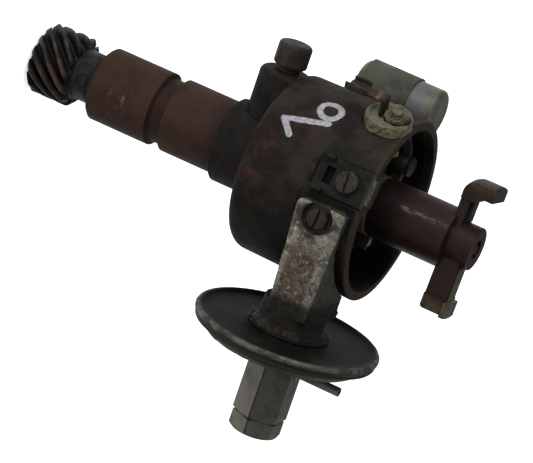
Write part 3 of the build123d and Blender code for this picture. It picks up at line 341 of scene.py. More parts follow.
def cast_iron():
    finish = Finish("cast_iron", metallic=0.0, specular=0.045)
    radius = finish.from_axis(finish.x, finish.y)
    shank = finish.below(finish.z, *SHANK_TOP)
    cloud = finish.grain(17, 6, 0.62)
    small = finish.grain(2.4, 5, 0.65, shift=3.1)
    pits = finish.grain(0.55, 3, 0.7, shift=7.7)
    film = finish.mix(shank, BOWL_FILM, SHANK_FILM)
    collar = finish.band(finish.z, COLLAR_LOW, COLLAR_HIGH)
    film = finish.mix(collar * (0.5 + cloud * 0.6), film, COLLAR_FILM)
    outside = finish.between(radius, *BOWL_SKIN_R)
    height = finish.z + (cloud - 0.5) * 9
    back_band = finish.band(height, RUST_LOW, RUST_HIGH) * outside
    broken = finish.between(cloud * 0.5 + small * 0.6, 0.47, 0.62)
    rust = broken * (back_band * (finish.strip(RUST_TURN, half=9.5, soft=3) * 0.8 + 0.16) + 0.1)
    brown = finish.between(finish.grain(8, 5, 0.65, shift=31.0), 0.5, 0.66) * outside
    film = finish.mix(brown * 0.5, film, paint(42, 30, 26))
    film = finish.mix(rust, film, LOOSE_RUST)
    soot = finish.between(finish.grain(11, 5, 0.7, shift=11.0), 0.4, 0.6)
    film = finish.mix(soot * (0.7 - 0.4 * shank), film, GREASE_AND_SHADE)
    oily = finish.strip(CLIP_TURN, half=9.5, soft=3.5) * finish.between(height, *OIL_FROM)
    film = finish.mix(oily * 0.75, film, paint(19, 20, 18))
    # Painted shade: a small patch on the clip's turn is painted near black.
    slot_shade = finish.strip(CLIP_TURN, half=3.6, soft=0.5) * finish.band(finish.z, SLOT_SHADE_LOW, SLOT_SHADE_HIGH)
    film = finish.mix(slot_shade, film, paint(4, 4, 4))
    # Painted shade: the bowl's side turned away from the key light is darkened.
    shade = finish.strip(SHADE_TURN, half=15, soft=10) * finish.between(finish.z, *SHADE_FROM)
    film = finish.mix(shade * 0.5, film, GREASE_AND_SHADE)
    # Painted shade: the shank's groove is painted darker.
    groove = shank * finish.below(radius, *GROOVE_SHADE_R)
    film = finish.mix(groove * 0.5, film, paint(22, 18, 16))
    rim = finish.between(finish.z, *RIM_FROM) * outside
    film = finish.mix(rim * small * 0.45, film, paint(66, 56, 46))
    # Painted shade: the bore inside the bowl is painted near black, a little less at its lip.
    lip = finish.between(finish.z, *BORE_LIP)
    bore_shade = finish.below(radius, *BORE_R) * finish.between(finish.z, *BORE_FLOOR) * (1 - lip * 0.5)
    film = finish.mix(bore_shade * 0.92, film, paint(7, 7, 7))
    flecks = finish.between(finish.grain(0.9, 2, 0.5, shift=21.0), 0.7, 0.76)
    film = finish.mix(flecks * 0.3, film, paint(84, 76, 62))
    rub = finish.strip(RUB_TURN, half=5, soft=1.5) * finish.band(finish.z, RUB_LOW, RUB_HIGH)
    rubbed = finish.between(finish.grain(1.0, 4, 0.7, stretch=(0.4, 0.4, 1), shift=41.0), 0.55, 0.68)
    film = finish.mix(rub * rubbed * 0.5, film, paint(104, 88, 82))
    finish.feed("Base Color", film)
    finish.feed("Roughness", 0.5 + small * 0.3 + rust * 0.2 - shank * 0.04)
    finish.bump(pits * (0.55 - 0.35 * shank) + small * 0.35 + rust * 0.4, 0.3)
    return finish, film


iron_finish, iron_film = cast_iron()
print("cast iron:", len(iron_finish.tree.nodes), "nodes")

# %% [markdown]
# ## A paint-pen mark
# Yards mark a checked part with a white paint pen. A ring and a tick say
# nothing but "checked". The mark is drawn on the bowl unrolled: arc length
# round the shaft against height, so that its strokes keep their width.

# %% White tick and ring
MARK_TURN = math.radians(-141)
MARK_HIGH = 33.5
PEN = 1.15
BOWL_MID_R = 32.6
PAINTED_R = (31.0, 31.6)
RING_AT = (-5.2, 4.4)
RING_R = 3.7
TICK = ((9.6, -3.6), (4.8, -8.2), (0.4, 6.6))


def inked(finish, off):
    """Ink where the middle of the line is less than PEN away, with a soft border."""
    return finish.below(off, PEN - 0.25, PEN + 0.15)


def stroke(finish, across, along, start, end):
    """A pen stroke with round ends between two points of the unrolled bowl."""
    length = math.dist(start, end)
    cos, sin = (end[0] - start[0]) / length, (end[1] - start[1]) / length
    a = across - start[0]
    b = along - start[1]
    reach = finish.node("ShaderNodeClamp", {}, {"Value": a * cos + b * sin, "Min": 0.0, "Max": length})
    return inked(finish, finish.from_axis(a - reach * cos, b - reach * sin))


def pen_mark(finish, film):
    turn = finish.node("ShaderNodeMath", {"operation": "ARCTAN2"}, {0: finish.y, 1: finish.x})
    wobble = finish.grain(3.0, 3, 0.6, shift=5.0) - 0.5
    across = (turn - MARK_TURN) * BOWL_MID_R + wobble * 1.1
    along = finish.z - MARK_HIGH + wobble * 0.9
    ink = inked(finish, abs(finish.from_axis(across, along, *RING_AT) - RING_R))
    for start, end in zip(TICK, TICK[1:]):
        line = stroke(finish, across, along, start, end)
        ink = finish.node("ShaderNodeMath", {"operation": "MAXIMUM"}, {0: ink, 1: line})
    outside = finish.between(finish.from_axis(finish.x, finish.y), *PAINTED_R)
    thin = finish.between(finish.grain(1.2, 5, 0.75, shift=2.0), 0.4, 0.6)
    ink = ink * outside * (0.6 + thin * 0.4)
    finish.feed("Base Color", finish.mix(ink, film, paint(142, 141, 146)))


pen_mark(iron_finish, iron_film)
print("pen mark at", round(math.degrees(MARK_TURN)), "degrees round")

# %% [markdown]
# ## Metals
# Most metals here are the same idea at different settings: a base film, darker
# grime in blotches, bright wear in small flecks, and a fine relief. One
# function takes those as arguments, and each finish names its own values.

# %% A worn metal in general
def worn_metal(name, film, grime, bright, metallic=0.75, rough=0.42, blotch=5.0,
               grime_share=0.55, fleck_share=0.25, relief=0.06, stretch=(1, 1, 1)):
    finish = Finish(name, metallic=metallic, specular=0.1)
    cloud = finish.grain(blotch, 5, 0.62, stretch=stretch)
    small = finish.grain(blotch / 6, 4, 0.6, stretch=stretch, shift=4.0)
    dirty = finish.between(cloud, 0.42, 0.66)
    flecks = finish.between(small, 0.6, 0.72)
    colour = finish.mix(dirty * grime_share, film, grime)
    colour = finish.mix(flecks * fleck_share, colour, bright)
    finish.feed("Base Color", colour)
    finish.feed("Roughness", rough + dirty * 0.2 - flecks * 0.08)
    finish.bump(small * 0.6 + cloud * 0.4, relief)
    return finish, colour


gear_steel, gear_colour = worn_metal(
    "gear_steel", paint(27, 27, 26), paint(12, 12, 12), paint(62, 50, 42),
    metallic=0.15, rough=0.46, blotch=4.0, grime_share=0.8, fleck_share=0.14, relief=0.1)
shaft_steel, _ = worn_metal(
    "shaft_steel", paint(96, 92, 86), paint(48, 42, 36), paint(150, 147, 140),
    rough=0.3, stretch=(1, 1, 0.1))
screw_steel, _ = worn_metal(
    "screw_steel", paint(44, 38, 34), paint(20, 18, 17), paint(96, 88, 80),
    metallic=0.4, rough=0.5, blotch=1.3, grime_share=0.7, fleck_share=0.3, relief=0.12)
spring_steel, _ = worn_metal(
    "spring_steel", paint(140, 138, 134), paint(80, 70, 58), paint(190, 190, 190), rough=0.32, blotch=2.0)
plate_steel, _ = worn_metal(
    "plate_steel", paint(66, 60, 50), paint(34, 30, 25), paint(108, 102, 88), rough=0.4, blotch=6.0)
cam_steel, _ = worn_metal(
    "cam_steel", paint(120, 116, 110), paint(60, 52, 44), paint(180, 178, 174),
    rough=0.28, stretch=(1, 1, 0.2))
weight_steel, _ = worn_metal(
    "weight_steel", paint(104, 98, 90), paint(48, 40, 34), paint(150, 146, 138), rough=0.5, blotch=3.0)
cup_iron, _ = worn_metal(
    "cup_iron", paint(42, 35, 31), paint(22, 20, 19), paint(70, 50, 40),
    metallic=0.2, rough=0.6, blotch=4.5, grime_share=0.6, fleck_share=0.3, relief=0.12)
bracket_steel, bracket_colour = worn_metal(
    "bracket_steel", paint(15, 15, 12), paint(7, 7, 7), paint(46, 43, 36),
    metallic=0.05, rough=0.55, blotch=3.2, grime_share=0.6, fleck_share=0.22, relief=0.12)
hex_steel, hex_colour = worn_metal(
    "hex_steel", paint(78, 76, 70), paint(44, 42, 38), paint(110, 107, 98),
    metallic=0.4, rough=0.45, blotch=5.5, grime_share=0.5, fleck_share=0.12, relief=0.07)
bronze, _ = worn_metal(
    "bronze", paint(160, 124, 76), paint(86, 60, 38), paint(206, 176, 118), rough=0.34, blotch=2.4)
tungsten, _ = worn_metal(
    "tungsten", paint(150, 150, 152), paint(74, 72, 72), paint(196, 196, 198), rough=0.3, blotch=0.8)
print("materials so far:", len(bpy.data.materials))

# %% Folded toes of the clip brackets
TOE_R = (32.4, 33.0)


def folded_toes():
    """The toe over the rim stays greyer than the plate; its outer fold gets a broken bright edge, a painted
    highlight made of chips.
    """
    edge = bracket_steel.between(bracket_steel.z, RIM_HIGH - 1.2, RIM_HIGH - 0.4)
    toe = bracket_steel.mix(edge * 0.7, bracket_colour, paint(40, 39, 35))
    chips = bracket_steel.between(bracket_steel.grain(1.0, 4, 0.7, shift=27.0), 0.42, 0.6)
    outer = bracket_steel.between(bracket_steel.from_axis(bracket_steel.x, bracket_steel.y), *TOE_R)
    fold = bracket_steel.between(bracket_steel.z, RIM_HIGH, RIM_HIGH + 0.4) * outer
    # Painted highlight: the outer fold gets a broken bright edge made of chips.
    bracket_steel.feed("Base Color", bracket_steel.mix(fold * (0.05 + chips * 0.3), toe, paint(100, 97, 85)))


folded_toes()
print("toes folded at", round(RIM_HIGH, 1), "mm")

# %% [markdown]
# ## Worn teeth, painted sheen and shade
# A gear runs in oil: the gullets stay black, and rubbing keeps the tooth crests
# brown and bare. The crests are also painted lighter as a painted highlight,
# and the gullets darker as painted shade. Distance from the shaft's axis tells
# one from the other, and height keeps both masks off the hub.

# %% Tooth crests
CREST_R = (11.4, 12.9)
TEETH_TOP = (-61.5, -60.0)


def crest_wear_sheen_and_gullet_shade():
    crest = gear_steel.between(gear_steel.from_axis(gear_steel.x, gear_steel.y), *CREST_R)
    teeth = gear_steel.below(gear_steel.z, *TEETH_TOP)
    streak = gear_steel.between(gear_steel.grain(5.0, 3, 0.5, shift=9.0), 0.48, 0.6)
    bare = gear_steel.mix(streak, paint(38, 36, 34), paint(84, 60, 46))
    # Painted shade and highlight: gullets painted near black as oil and shade, crests lighter as bare metal
    # and sheen.
    gullet_oil_and_shade = gear_steel.mix((1 - crest) * teeth * 0.75, gear_colour, paint(14, 13, 13))
    gear_steel.feed("Base Color", gear_steel.mix(crest * teeth * 0.4, gullet_oil_and_shade, bare))


crest_wear_sheen_and_gullet_shade()
print("gear:", len(gear_steel.tree.nodes), "nodes")

# %% [markdown]
# ## Corroded die casting
# The vacuum arm is a zinc or aluminium die casting. White corrosion blooms in
# soft clouds, brown oil settles in it, and pores make dark pepper spots. The
# side walls are painted much darker than the face as painted shade, and so is
# the arm where it meets the dish.

# %% Die-cast arm finish
ARM_MIDDLE = middle_of("vacuum_bracket")[2]
ARM_SCREW_X, _, ARM_SCREW_Z = middle_of("vacuum_screw")
ARM_ROOT_X = -2.8
ARM_ROOT_HALF = 9.45
ARM_TAPER = 0.053
OILED_FROM, OILED_HALF = (10, 17), (4.5, 6.5)
EDGE_INSIDE = (-2.4, -0.8)
SCREW_DIRT_R = (5.6, 8.2)
FACE_Y = (-36.6, -35.4)
THROAT_SHADE_FROM = (30.5, 34)


def die_cast():
    finish = Finish("cast_alloy", metallic=0.2, specular=0.12)
    cloud = finish.grain(6, 6, 0.7)
    crust = finish.between(finish.grain(1.5, 6, 0.8, shift=2.2), 0.45, 0.6)
    pepper = finish.between(finish.grain(1.3, 5, 0.8, shift=6.0), 0.55, 0.62)
    film = finish.mix(finish.between(cloud, 0.42, 0.56), paint(76, 72, 62), paint(126, 121, 108))
    film = finish.mix(crust * 0.5, film, paint(164, 159, 145))
    aside = abs(finish.z - ARM_MIDDLE)
    half = ARM_ROOT_HALF - (finish.x - ARM_ROOT_X) * ARM_TAPER
    brown = finish.between(finish.x + (cloud - 0.5) * 16, *OILED_FROM) * finish.below(aside, *OILED_HALF)
    film = finish.mix(brown * (0.85 - crust * 0.45), film, paint(66, 52, 41))
    film = finish.mix(pepper * (0.5 + brown * 0.35), film, paint(30, 23, 18))
    edge = finish.between(aside - half, *EDGE_INSIDE)
    film = finish.mix(edge * 0.5, film, finish.mix(crust, paint(58, 60, 55), paint(136, 136, 126)))
    screw = finish.from_axis(finish.x, finish.z, ARM_SCREW_X, ARM_SCREW_Z)
    ring = finish.below(screw + (cloud - 0.5) * 9, *SCREW_DIRT_R)
    film = finish.mix(ring * 0.8, film, paint(40, 34, 28))
    # Painted shade: the side walls are painted much darker than the face.
    shaded_side = finish.between(finish.y, *FACE_Y)
    film = finish.mix(shaded_side * 0.85, film, finish.mix(crust * 0.5, paint(30, 31, 28), paint(84, 86, 80)))
    # Painted shade: the arm is painted near black towards the dish, where it meets the dish.
    throat_shade = finish.between(finish.x + (cloud - 0.5) * 5, *THROAT_SHADE_FROM)
    film = finish.mix(throat_shade * 0.9, film, paint(20, 19, 17))
    finish.feed("Base Color", film)
    finish.feed("Roughness", 0.5 + crust * 0.25 + brown * 0.15)
    finish.bump(crust * 0.6 + cloud * 0.3 - pepper * 0.7, 0.55)
    return finish


cast_alloy = die_cast()
print("die casting ready, its middle at", round(ARM_MIDDLE, 1), "mm")

# %% [markdown]
# ## Pressed dish and hexagonal barrel
# The dish is pressed sheet with a thin dark plating. Handling wears the rolled
# rim bright in patches, and a painted highlight brightens the roll's front crest
# under them; wiped oil leaves soft brown clouds on the faces. The barrel behind
# it is bright bar: one flat is painted lighter than the next as a painted
# highlight, and dirt keeps the corner between them dark.

# %% Dish finish
ROLL_R = (31.2, 32.4)


def pressed_dish():
    finish = Finish("dish_steel", metallic=0.0, specular=0.045)
    out = finish.from_axis(finish.y, finish.z, DISH_Y, DISH_Z)
    cloud = finish.grain(9, 6, 0.65)
    small = finish.grain(1.5, 5, 0.65, shift=3.0)
    film = finish.mix(cloud, paint(7, 7, 6), paint(15, 15, 14))
    wiped = finish.between(finish.grain(5.0, 4, 0.6, shift=14.0), 0.52, 0.7)
    film = finish.mix(wiped * 0.2, film, paint(46, 43, 38))
    brown = finish.between(finish.grain(12, 4, 0.6, shift=17.0), 0.52, 0.66)
    film = finish.mix(brown * 0.4, film, paint(34, 28, 24))
    # Painted highlight along the roll's front crest, with worn bright patches on it.
    roll_wear_and_highlight = finish.between(out, *ROLL_R) * finish.below(finish.x, DISH_FRONT + 1.6, DISH_FRONT + 2.4)
    crimp = finish.between(finish.x, DISH_FRONT + 2.0, DISH_FRONT + 3.0)
    film = finish.mix(crimp * 0.6, film, paint(40, 39, 34))
    bare = finish.between(finish.grain(4.0, 6, 0.75, shift=8.0), 0.42, 0.6)
    film = finish.mix(roll_wear_and_highlight * (0.14 + bare * 0.34), film, paint(104, 102, 95))
    finish.feed("Base Color", film)
    finish.feed("Roughness", 0.5 - roll_wear_and_highlight * bare * 0.2 + small * 0.15)
    finish.feed("Metallic", roll_wear_and_highlight * bare * 0.5)
    finish.bump(small * 0.5 + cloud * 0.4, 0.16)
    return finish


dish_steel = pressed_dish()
print("dish finish ready")

# %% Flats of the barrel
HEX_NEAR = DISH_Y - 6
CORNER_HALF = (0.1, 0.45)


def barrel_flats():
    """A flat painted lighter on one side of the near corner as a painted highlight, and dirt along the
    corner itself.
    """
    aside = hex_steel.z - DISH_Z
    wander = hex_steel.grain(1.6, 4, 0.7, shift=19.0) - 0.5
    corner = hex_steel.below(abs(aside + wander * 1.2), *CORNER_HALF)
    near = hex_steel.below(hex_steel.y, HEX_NEAR, HEX_NEAR + 2)
    # Painted highlight: the flat on one side of the near corner is painted lighter.
    light = hex_steel.mix(hex_steel.below(aside, -0.5, 0.1) * 0.25, hex_colour, paint(104, 101, 92))
    hex_steel.feed("Base Color", hex_steel.mix(corner * near * 0.75, light, paint(18, 17, 15)))


barrel_flats()
print("barrel's near corner at", round(DISH_Z, 1), "mm")

# %% [markdown]
# ## Zinc, copper and insulators
# The condenser's can is bright zinc plate gone dull. The terminal's lug is
# tinned copper with orange showing at the fold. The insulator was cream once.

# %% Zinc can
BARE_LOW, BARE_HIGH = (49.0, 49.6), (55.5, 56.5)
FOLD_LOW, FOLD_HIGH = (50.6, 51.4), (52.8, 53.4)
RISER_FROM = (53.0, 53.6)


def zinc_can():
    finish = Finish("can_zinc", metallic=0.35, specular=0.12)
    cloud = finish.grain(6, 6, 0.7)
    drawn = finish.grain(1.4, 4, 0.6, stretch=(1, 1, 0.15), shift=4.0)
    film = finish.mix(finish.between(cloud, 0.38, 0.62), paint(62, 61, 52), paint(84, 83, 76))
    film = finish.mix(finish.between(drawn, 0.5, 0.75) * 0.5, film, paint(50, 48, 43))
    bare = finish.between(finish.z, *BARE_LOW) * finish.below(finish.z + cloud * 3, *BARE_HIGH)
    streak = finish.between(finish.grain(2.0, 5, 0.7, stretch=(1, 1, 0.3), shift=9.0), 0.36, 0.6)
    film = finish.mix(bare * (0.25 + streak * 0.75), film, paint(80, 79, 84))
    finish.feed("Base Color", film)
    finish.feed("Roughness", 0.34 + cloud * 0.22)
    finish.bump(drawn * 0.6 + cloud * 0.4, 0.05)
    return finish


can_zinc = zinc_can()
strap_zinc, _ = worn_metal(
    "strap_zinc", paint(60, 59, 52), paint(38, 37, 33), paint(92, 89, 80),
    metallic=0.3, rough=0.52, blotch=7.0, fleck_share=0.12)
lug_copper, lug_colour = worn_metal(
    "lug_copper", paint(40, 37, 28), paint(22, 21, 17), paint(100, 62, 34),
    metallic=0.3, rough=0.5, blotch=2.6, grime_share=0.65, fleck_share=0.35)


def lug_wear():
    """Orange copper at the lug's fold, and a dirt-dark riser above it."""
    fold = lug_copper.band(lug_copper.z, FOLD_LOW, FOLD_HIGH)
    patch = lug_copper.between(lug_copper.grain(1.3, 4, 0.7, shift=23.0), 0.44, 0.6)
    riser = lug_copper.between(lug_copper.z, *RISER_FROM)
    dark = lug_copper.mix(riser * 0.8, lug_colour, paint(26, 26, 20))
    lug_copper.feed("Base Color", lug_copper.mix(fold * patch * 0.7, dark, paint(118, 74, 38)))


lug_wear()
print("plated metals ready")

# %% Moulded and soft finishes
def moulded(name, film, stain, speck, rough, blotch, relief=0.05):
    finish = Finish(name, metallic=0.0, specular=0.2)
    cloud = finish.grain(blotch, 5, 0.65)
    small = finish.grain(blotch / 5, 4, 0.65, shift=6.0)
    colour = finish.mix(finish.between(cloud, 0.4, 0.66) * 0.7, film, stain)
    colour = finish.mix(finish.between(small, 0.55, 0.7) * 0.4, colour, speck)
    finish.feed("Base Color", colour)
    finish.feed("Roughness", rough + small * 0.2)
    finish.bump(small, relief)
    return finish, colour


insulator, insulator_colour = moulded(
    "insulator", paint(88, 85, 66), paint(56, 54, 42), paint(26, 24, 18), 0.5, 2.4, relief=0.3)
TERMINAL_TURN = -160.0
STUD_HIGH = middle_of("terminal_nut")[2]
NUT_EDGE_R = (4.5, 4.9)
RING_WAVE = 7.6


def layered(finish, colour, inner, outer):
    """Dark rings round the stud, strong on the nut and faint on the disc."""
    turn = math.radians(TERMINAL_TURN)
    aside = finish.y * math.cos(turn) - finish.x * math.sin(turn)
    out = finish.from_axis(aside, finish.z, 0.0, STUD_HIGH)
    wander = finish.grain(2.0, 4, 0.65, shift=35.0) - 0.5
    wave = finish.node("ShaderNodeMath", {"operation": "SINE"}, {0: (out + wander * 1.6) * RING_WAVE})
    groove = finish.between(wave, 0.1, 0.8)
    depth = finish.below(out, *NUT_EDGE_R) * (inner - outer) + outer
    finish.feed("Base Color", finish.mix(groove * depth, colour, paint(24, 22, 16)))


layered(insulator, insulator_colour, inner=0.75, outer=0.35)
brass, _ = worn_metal(
    "brass", paint(64, 60, 48), paint(36, 33, 27), paint(104, 97, 78),
    metallic=0.25, rough=0.45, blotch=2.6)
fibre, _ = moulded("fibre", paint(62, 32, 24), paint(36, 20, 16), paint(84, 48, 36), 0.6, 2.0)
rubber_fabric, _ = moulded(
    "rubber_fabric", paint(40, 38, 36), paint(26, 25, 24), paint(58, 54, 50), 0.75, 1.2)
print("moulded finishes ready")

# %% [markdown]
# ## Brown phenolic
# The rotor is compression-moulded brown phenolic, mottled with wood-flour
# filler. The arm's ends are rubbed tan. A painted highlight of pale chips follows
# one line up the tube, and the tube's foot is painted near black as painted
# shade where it goes into the bowl. The tube's long soft highlight from the key
# light needs a middling roughness and a thin coat.

# %% Rotor finish
ARM_END_R = (19.5, 23.5)
TUBE_FOOT_SHADE = (66, 74)
HIGHLIGHT_TURN = -122.5
HIGHLIGHT_LOW, HIGHLIGHT_HIGH = (69, 72), (85, 90)


def phenolic():
    finish = Finish("bakelite", metallic=0.0, specular=0.06)
    finish.shader.inputs["Coat Roughness"].default_value = 0.12
    cloud = finish.grain(8, 5, 0.6)
    filler = finish.grain(0.9, 4, 0.7, shift=5.0)
    film = finish.mix(cloud, paint(24, 15, 13), paint(36, 23, 19))
    film = finish.mix(finish.between(filler, 0.6, 0.75) * 0.3, film, paint(52, 37, 31))
    ends = finish.between(finish.from_axis(finish.x, finish.y), *ARM_END_R)
    rubbed = finish.between(finish.grain(3.5, 5, 0.65, shift=12.0), 0.4, 0.62)
    film = finish.mix(ends * (0.1 + rubbed * 0.45), film, paint(66, 56, 44))
    dust = finish.between(finish.grain(5, 5, 0.7, shift=15.0), 0.52, 0.7)
    film = finish.mix(dust * 0.15, film, paint(52, 47, 42))
    # Painted shade: the tube's foot, where it goes into the bowl, is painted near black.
    film = finish.mix(finish.below(finish.z, *TUBE_FOOT_SHADE) * 0.6, film, paint(9, 8, 9))
    # Painted highlight: a line of pale chips up the tube where the key light's highlight falls.
    painted_highlight_streak = finish.strip(HIGHLIGHT_TURN, half=0.7, soft=0.7) * finish.band(finish.z, HIGHLIGHT_LOW, HIGHLIGHT_HIGH)
    chips = finish.between(finish.grain(1.3, 6, 0.8, stretch=(1, 1, 0.35), shift=51.0), 0.44, 0.62)
    film = finish.mix(painted_highlight_streak * chips * 0.55, film, paint(112, 100, 112))
    finish.feed("Base Color", film)
    finish.feed("Roughness", 0.38 + filler * 0.14 + dust * 0.2 + ends * 0.12)
    finish.feed("Coat Weight", 0.03 - dust * 0.02)
    finish.bump(filler * 0.4 + cloud * 0.6, 0.06)
    return finish


bakelite = phenolic()
print("phenolic ready")

# %% [markdown]
# ## Every node gets its finish
# The record names a material slot for each node. One table turns those slots
# into finishes, so nothing keeps the flat colour that it was packed with.

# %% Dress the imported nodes
FINISHES = {finish.name: finish for finish in (
    bronze, gear_steel, shaft_steel, weight_steel, spring_steel, plate_steel, cam_steel, screw_steel,
    fibre, tungsten, insulator, lug_copper, can_zinc, bracket_steel, cast_alloy, dish_steel,
    rubber_fabric, hex_steel, cup_iron, bakelite)}
FINISHES["cast_iron_body"] = iron_finish
slot_of = {part["node"]: part["material_slot"] for part in frame["record"]["subparts"]}
for name, node in nodes.items():
    node.material_slots[0].material = FINISHES[slot_of[name]].material
nodes["condenser_strap"].material_slots[0].material = strap_zinc.material
nodes["gear_pin"].material_slots[0].material = gear_steel.material
nodes["rotor_button"].material_slots[0].material = bakelite.material
print("dressed", len(slot_of), "nodes")

# %% [markdown]
# ## A workbench of small habits
# Every new piece starts the same way: nothing else is selected, a primitive or
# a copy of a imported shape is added, and edit mode works on it. It ends the same
# way too: its modifiers are applied, its place goes into its mesh, and it rides
# on the body that carries it. The cells below then read like steps.

# %% Habits
CLEAR_ANGLE = math.radians(32)


def alone(piece):
    """Selects one object and makes it active."""
    bpy.ops.object.select_all(action="DESELECT")
    piece.select_set(True)
    bpy.context.view_layer.objects.active = piece


def named(name):
    """The object that was just added, under its own name."""
    piece = bpy.context.object
    piece.name = name
    piece.data.name = name
    return piece


def edit(piece, mode="FACE"):
    alone(piece)
    bpy.ops.object.mode_set(mode="EDIT")
    bpy.ops.mesh.select_mode(type=mode)


def pick(piece, test):
    """Selects the faces of a piece in edit mode that pass a test."""
    bpy.ops.mesh.select_all(action="DESELECT")
    bpy.ops.object.mode_set(mode="OBJECT")
    for face in piece.data.polygons:
        face.select = test(face)
    bpy.ops.object.mode_set(mode="EDIT")


def modify(piece, kind, **settings):
    """Adds a modifier and applies it at once."""
    alone(piece)
    modifier = piece.modifiers.new(kind, kind)
    for name, value in settings.items():
        setattr(modifier, name, value)
    bpy.ops.object.modifier_apply(modifier=modifier.name)


def clouded(piece, name, size, bite, depth=2, middle=1.0):
    """Moves the surface by a cloud texture; at middle 1 a positive bite only goes inwards."""
    clouds = bpy.data.textures.new(name, "CLOUDS")
    clouds.noise_scale = size * MM
    clouds.noise_depth = depth
    modify(piece, "DISPLACE", texture=clouds, texture_coords="LOCAL", strength=bite * MM, mid_level=middle)


def merged_copy(node, name):
    """A node's shape under another name, its loose triangles merged, left in edit mode."""
    alone(nodes[node])
    bpy.ops.object.duplicate(linked=False)
    piece = named(name)
    piece.parent = None
    edit(piece)
    bpy.ops.mesh.select_all(action="SELECT")
    bpy.ops.mesh.remove_doubles(threshold=0.002 * MM)
    bpy.ops.mesh.customdata_custom_splitnormals_clear()
    return piece


def settle(piece, place=None):
    """Puts a piece at its place and leaves its object at the origin."""
    alone(piece)
    if place is not None:
        piece.matrix_world = place @ piece.matrix_world
    bpy.ops.object.transform_apply(location=True, rotation=True, scale=True)
    bpy.ops.object.shade_smooth_by_angle(angle=CLEAR_ANGLE)
    return piece


def stand_for(piece, node, finish):
    """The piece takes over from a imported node: its body and its sight."""
    piece.data.materials.clear()
    piece.data.materials.append(finish.material)
    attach(piece, body_of[node])
    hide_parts(node)
    print(piece.name, "stands for", node, "with", len(piece.data.polygons), "faces")


def twin(piece, name, place):
    """A copy with its own mesh, put at another place."""
    alone(piece)
    bpy.ops.object.duplicate(linked=False)
    return settle(named(name), place)


def outward(degrees, high, out=0.0):
    """A place on the bowl: Z points outward, X along the shaft."""
    turn = math.radians(degrees)
    radial = Vector((math.cos(turn), math.sin(turn), 0))
    axes = Matrix((Vector((0, 0, 1)), radial.cross(Vector((0, 0, 1))), radial)).transposed()
    return Matrix.Translation(radial * out * MM + Vector((0, 0, high * MM))) @ axes.to_4x4()


body_of = {name: body for body, names in frame["record"]["behaviour"]["bodies"].items() for name in names}

# %% [markdown]
# ## Slotted screws
# The part is held together by cheese-head screws with one sawn slot. A saw cuts
# straight through the head, so the slot is a Boolean cut by a thin bar, and a
# Bevel afterwards leaves the slightly burred, rounded edges of a used screw.
# The near clip screw is modelled on the origin and copied to the far side. The
# strap's and the arm's screws come from the same function at their own sizes.

# %% One cheese-head screw
DOME_INSET = 0.25
DOME_RISE = 0.03
BURR = 0.045
SAW_HIGH = 4


def cheese_head(name, head_r, head_h, shank_r, shank_long, slot_wide, slot_deep):
    """A screw seated on z = 0, its slot along X."""
    bpy.ops.object.select_all(action="DESELECT")
    bpy.ops.mesh.primitive_cylinder_add(
        vertices=48, radius=head_r * MM, depth=head_h * MM, location=(0, 0, head_h / 2 * MM))
    head = named(name)
    bpy.ops.object.transform_apply(location=True, rotation=True, scale=True)
    edit(head)
    pick(head, lambda face: face.normal.z < -0.9)
    bpy.ops.mesh.inset(thickness=(head_r - shank_r) * MM)
    bpy.ops.mesh.extrude_region_move(TRANSFORM_OT_translate={"value": (0, 0, -shank_long * MM)})
    pick(head, lambda face: face.normal.z > 0.9)
    bpy.ops.mesh.inset(thickness=head_r * DOME_INSET * MM)
    bpy.ops.transform.translate(value=(0, 0, head_r * DOME_RISE * MM))
    bpy.ops.object.mode_set(mode="OBJECT")
    bpy.ops.object.select_all(action="DESELECT")
    bpy.ops.mesh.primitive_cube_add(size=1, location=(0, 0, (head_h - slot_deep + SAW_HIGH / 2) * MM))
    saw = named("saw")
    saw.scale = (head_r * 3 * MM, slot_wide * MM, SAW_HIGH * MM)
    bpy.ops.object.transform_apply(location=True, rotation=True, scale=True)
    modify(head, "BOOLEAN", operation="DIFFERENCE", object=saw, solver="EXACT")
    alone(saw)
    bpy.ops.object.delete()
    modify(head, "BEVEL", width=head_r * BURR * MM, segments=2,
           limit_method="ANGLE", angle_limit=math.radians(40))
    return head


clip_head = cheese_head(
    "clip_screw", head_r=3.9, head_h=2.3, shank_r=2.0, shank_long=5.4, slot_wide=1.0, slot_deep=1.3)
print("screw:", len(clip_head.data.polygons), "faces")

# %% Screws in their places
CLIP_SEAT_R = 33.6
CLIP_SLOT_TURN = 98
STRAP_TURN = 106.0
STRAP_SEAT_R = 34.2
STRAP_SLOT_TURN = 40
ARM_SEAT = 2.3
ARM_SLOT_TURN = -5


def screw_place(degrees, high, seat, slot_turn):
    """A place where a screw's head faces straight out from the shaft's axis."""
    return outward(degrees, high, seat) @ Matrix.Rotation(math.radians(slot_turn), 4, "Z")


clip_high = middle_of("clip_screw_a")[2]
clip_far = twin(clip_head, "clip_screw_far",
                screw_place(CLIP_TURN + 180, clip_high, CLIP_SEAT_R, CLIP_SLOT_TURN))
settle(clip_head, screw_place(CLIP_TURN, clip_high, CLIP_SEAT_R, CLIP_SLOT_TURN))
stand_for(clip_head, "clip_screw_a", screw_steel)
stand_for(clip_far, "clip_screw_b", screw_steel)

strap_head = cheese_head(
    "strap_screw_head", head_r=3.25, head_h=2.05, shank_r=1.85, shank_long=5.5, slot_wide=0.9, slot_deep=1.0)
settle(strap_head, screw_place(STRAP_TURN, middle_of("condenser_strap")[2], STRAP_SEAT_R, STRAP_SLOT_TURN))
stand_for(strap_head, "strap_screw", screw_steel)

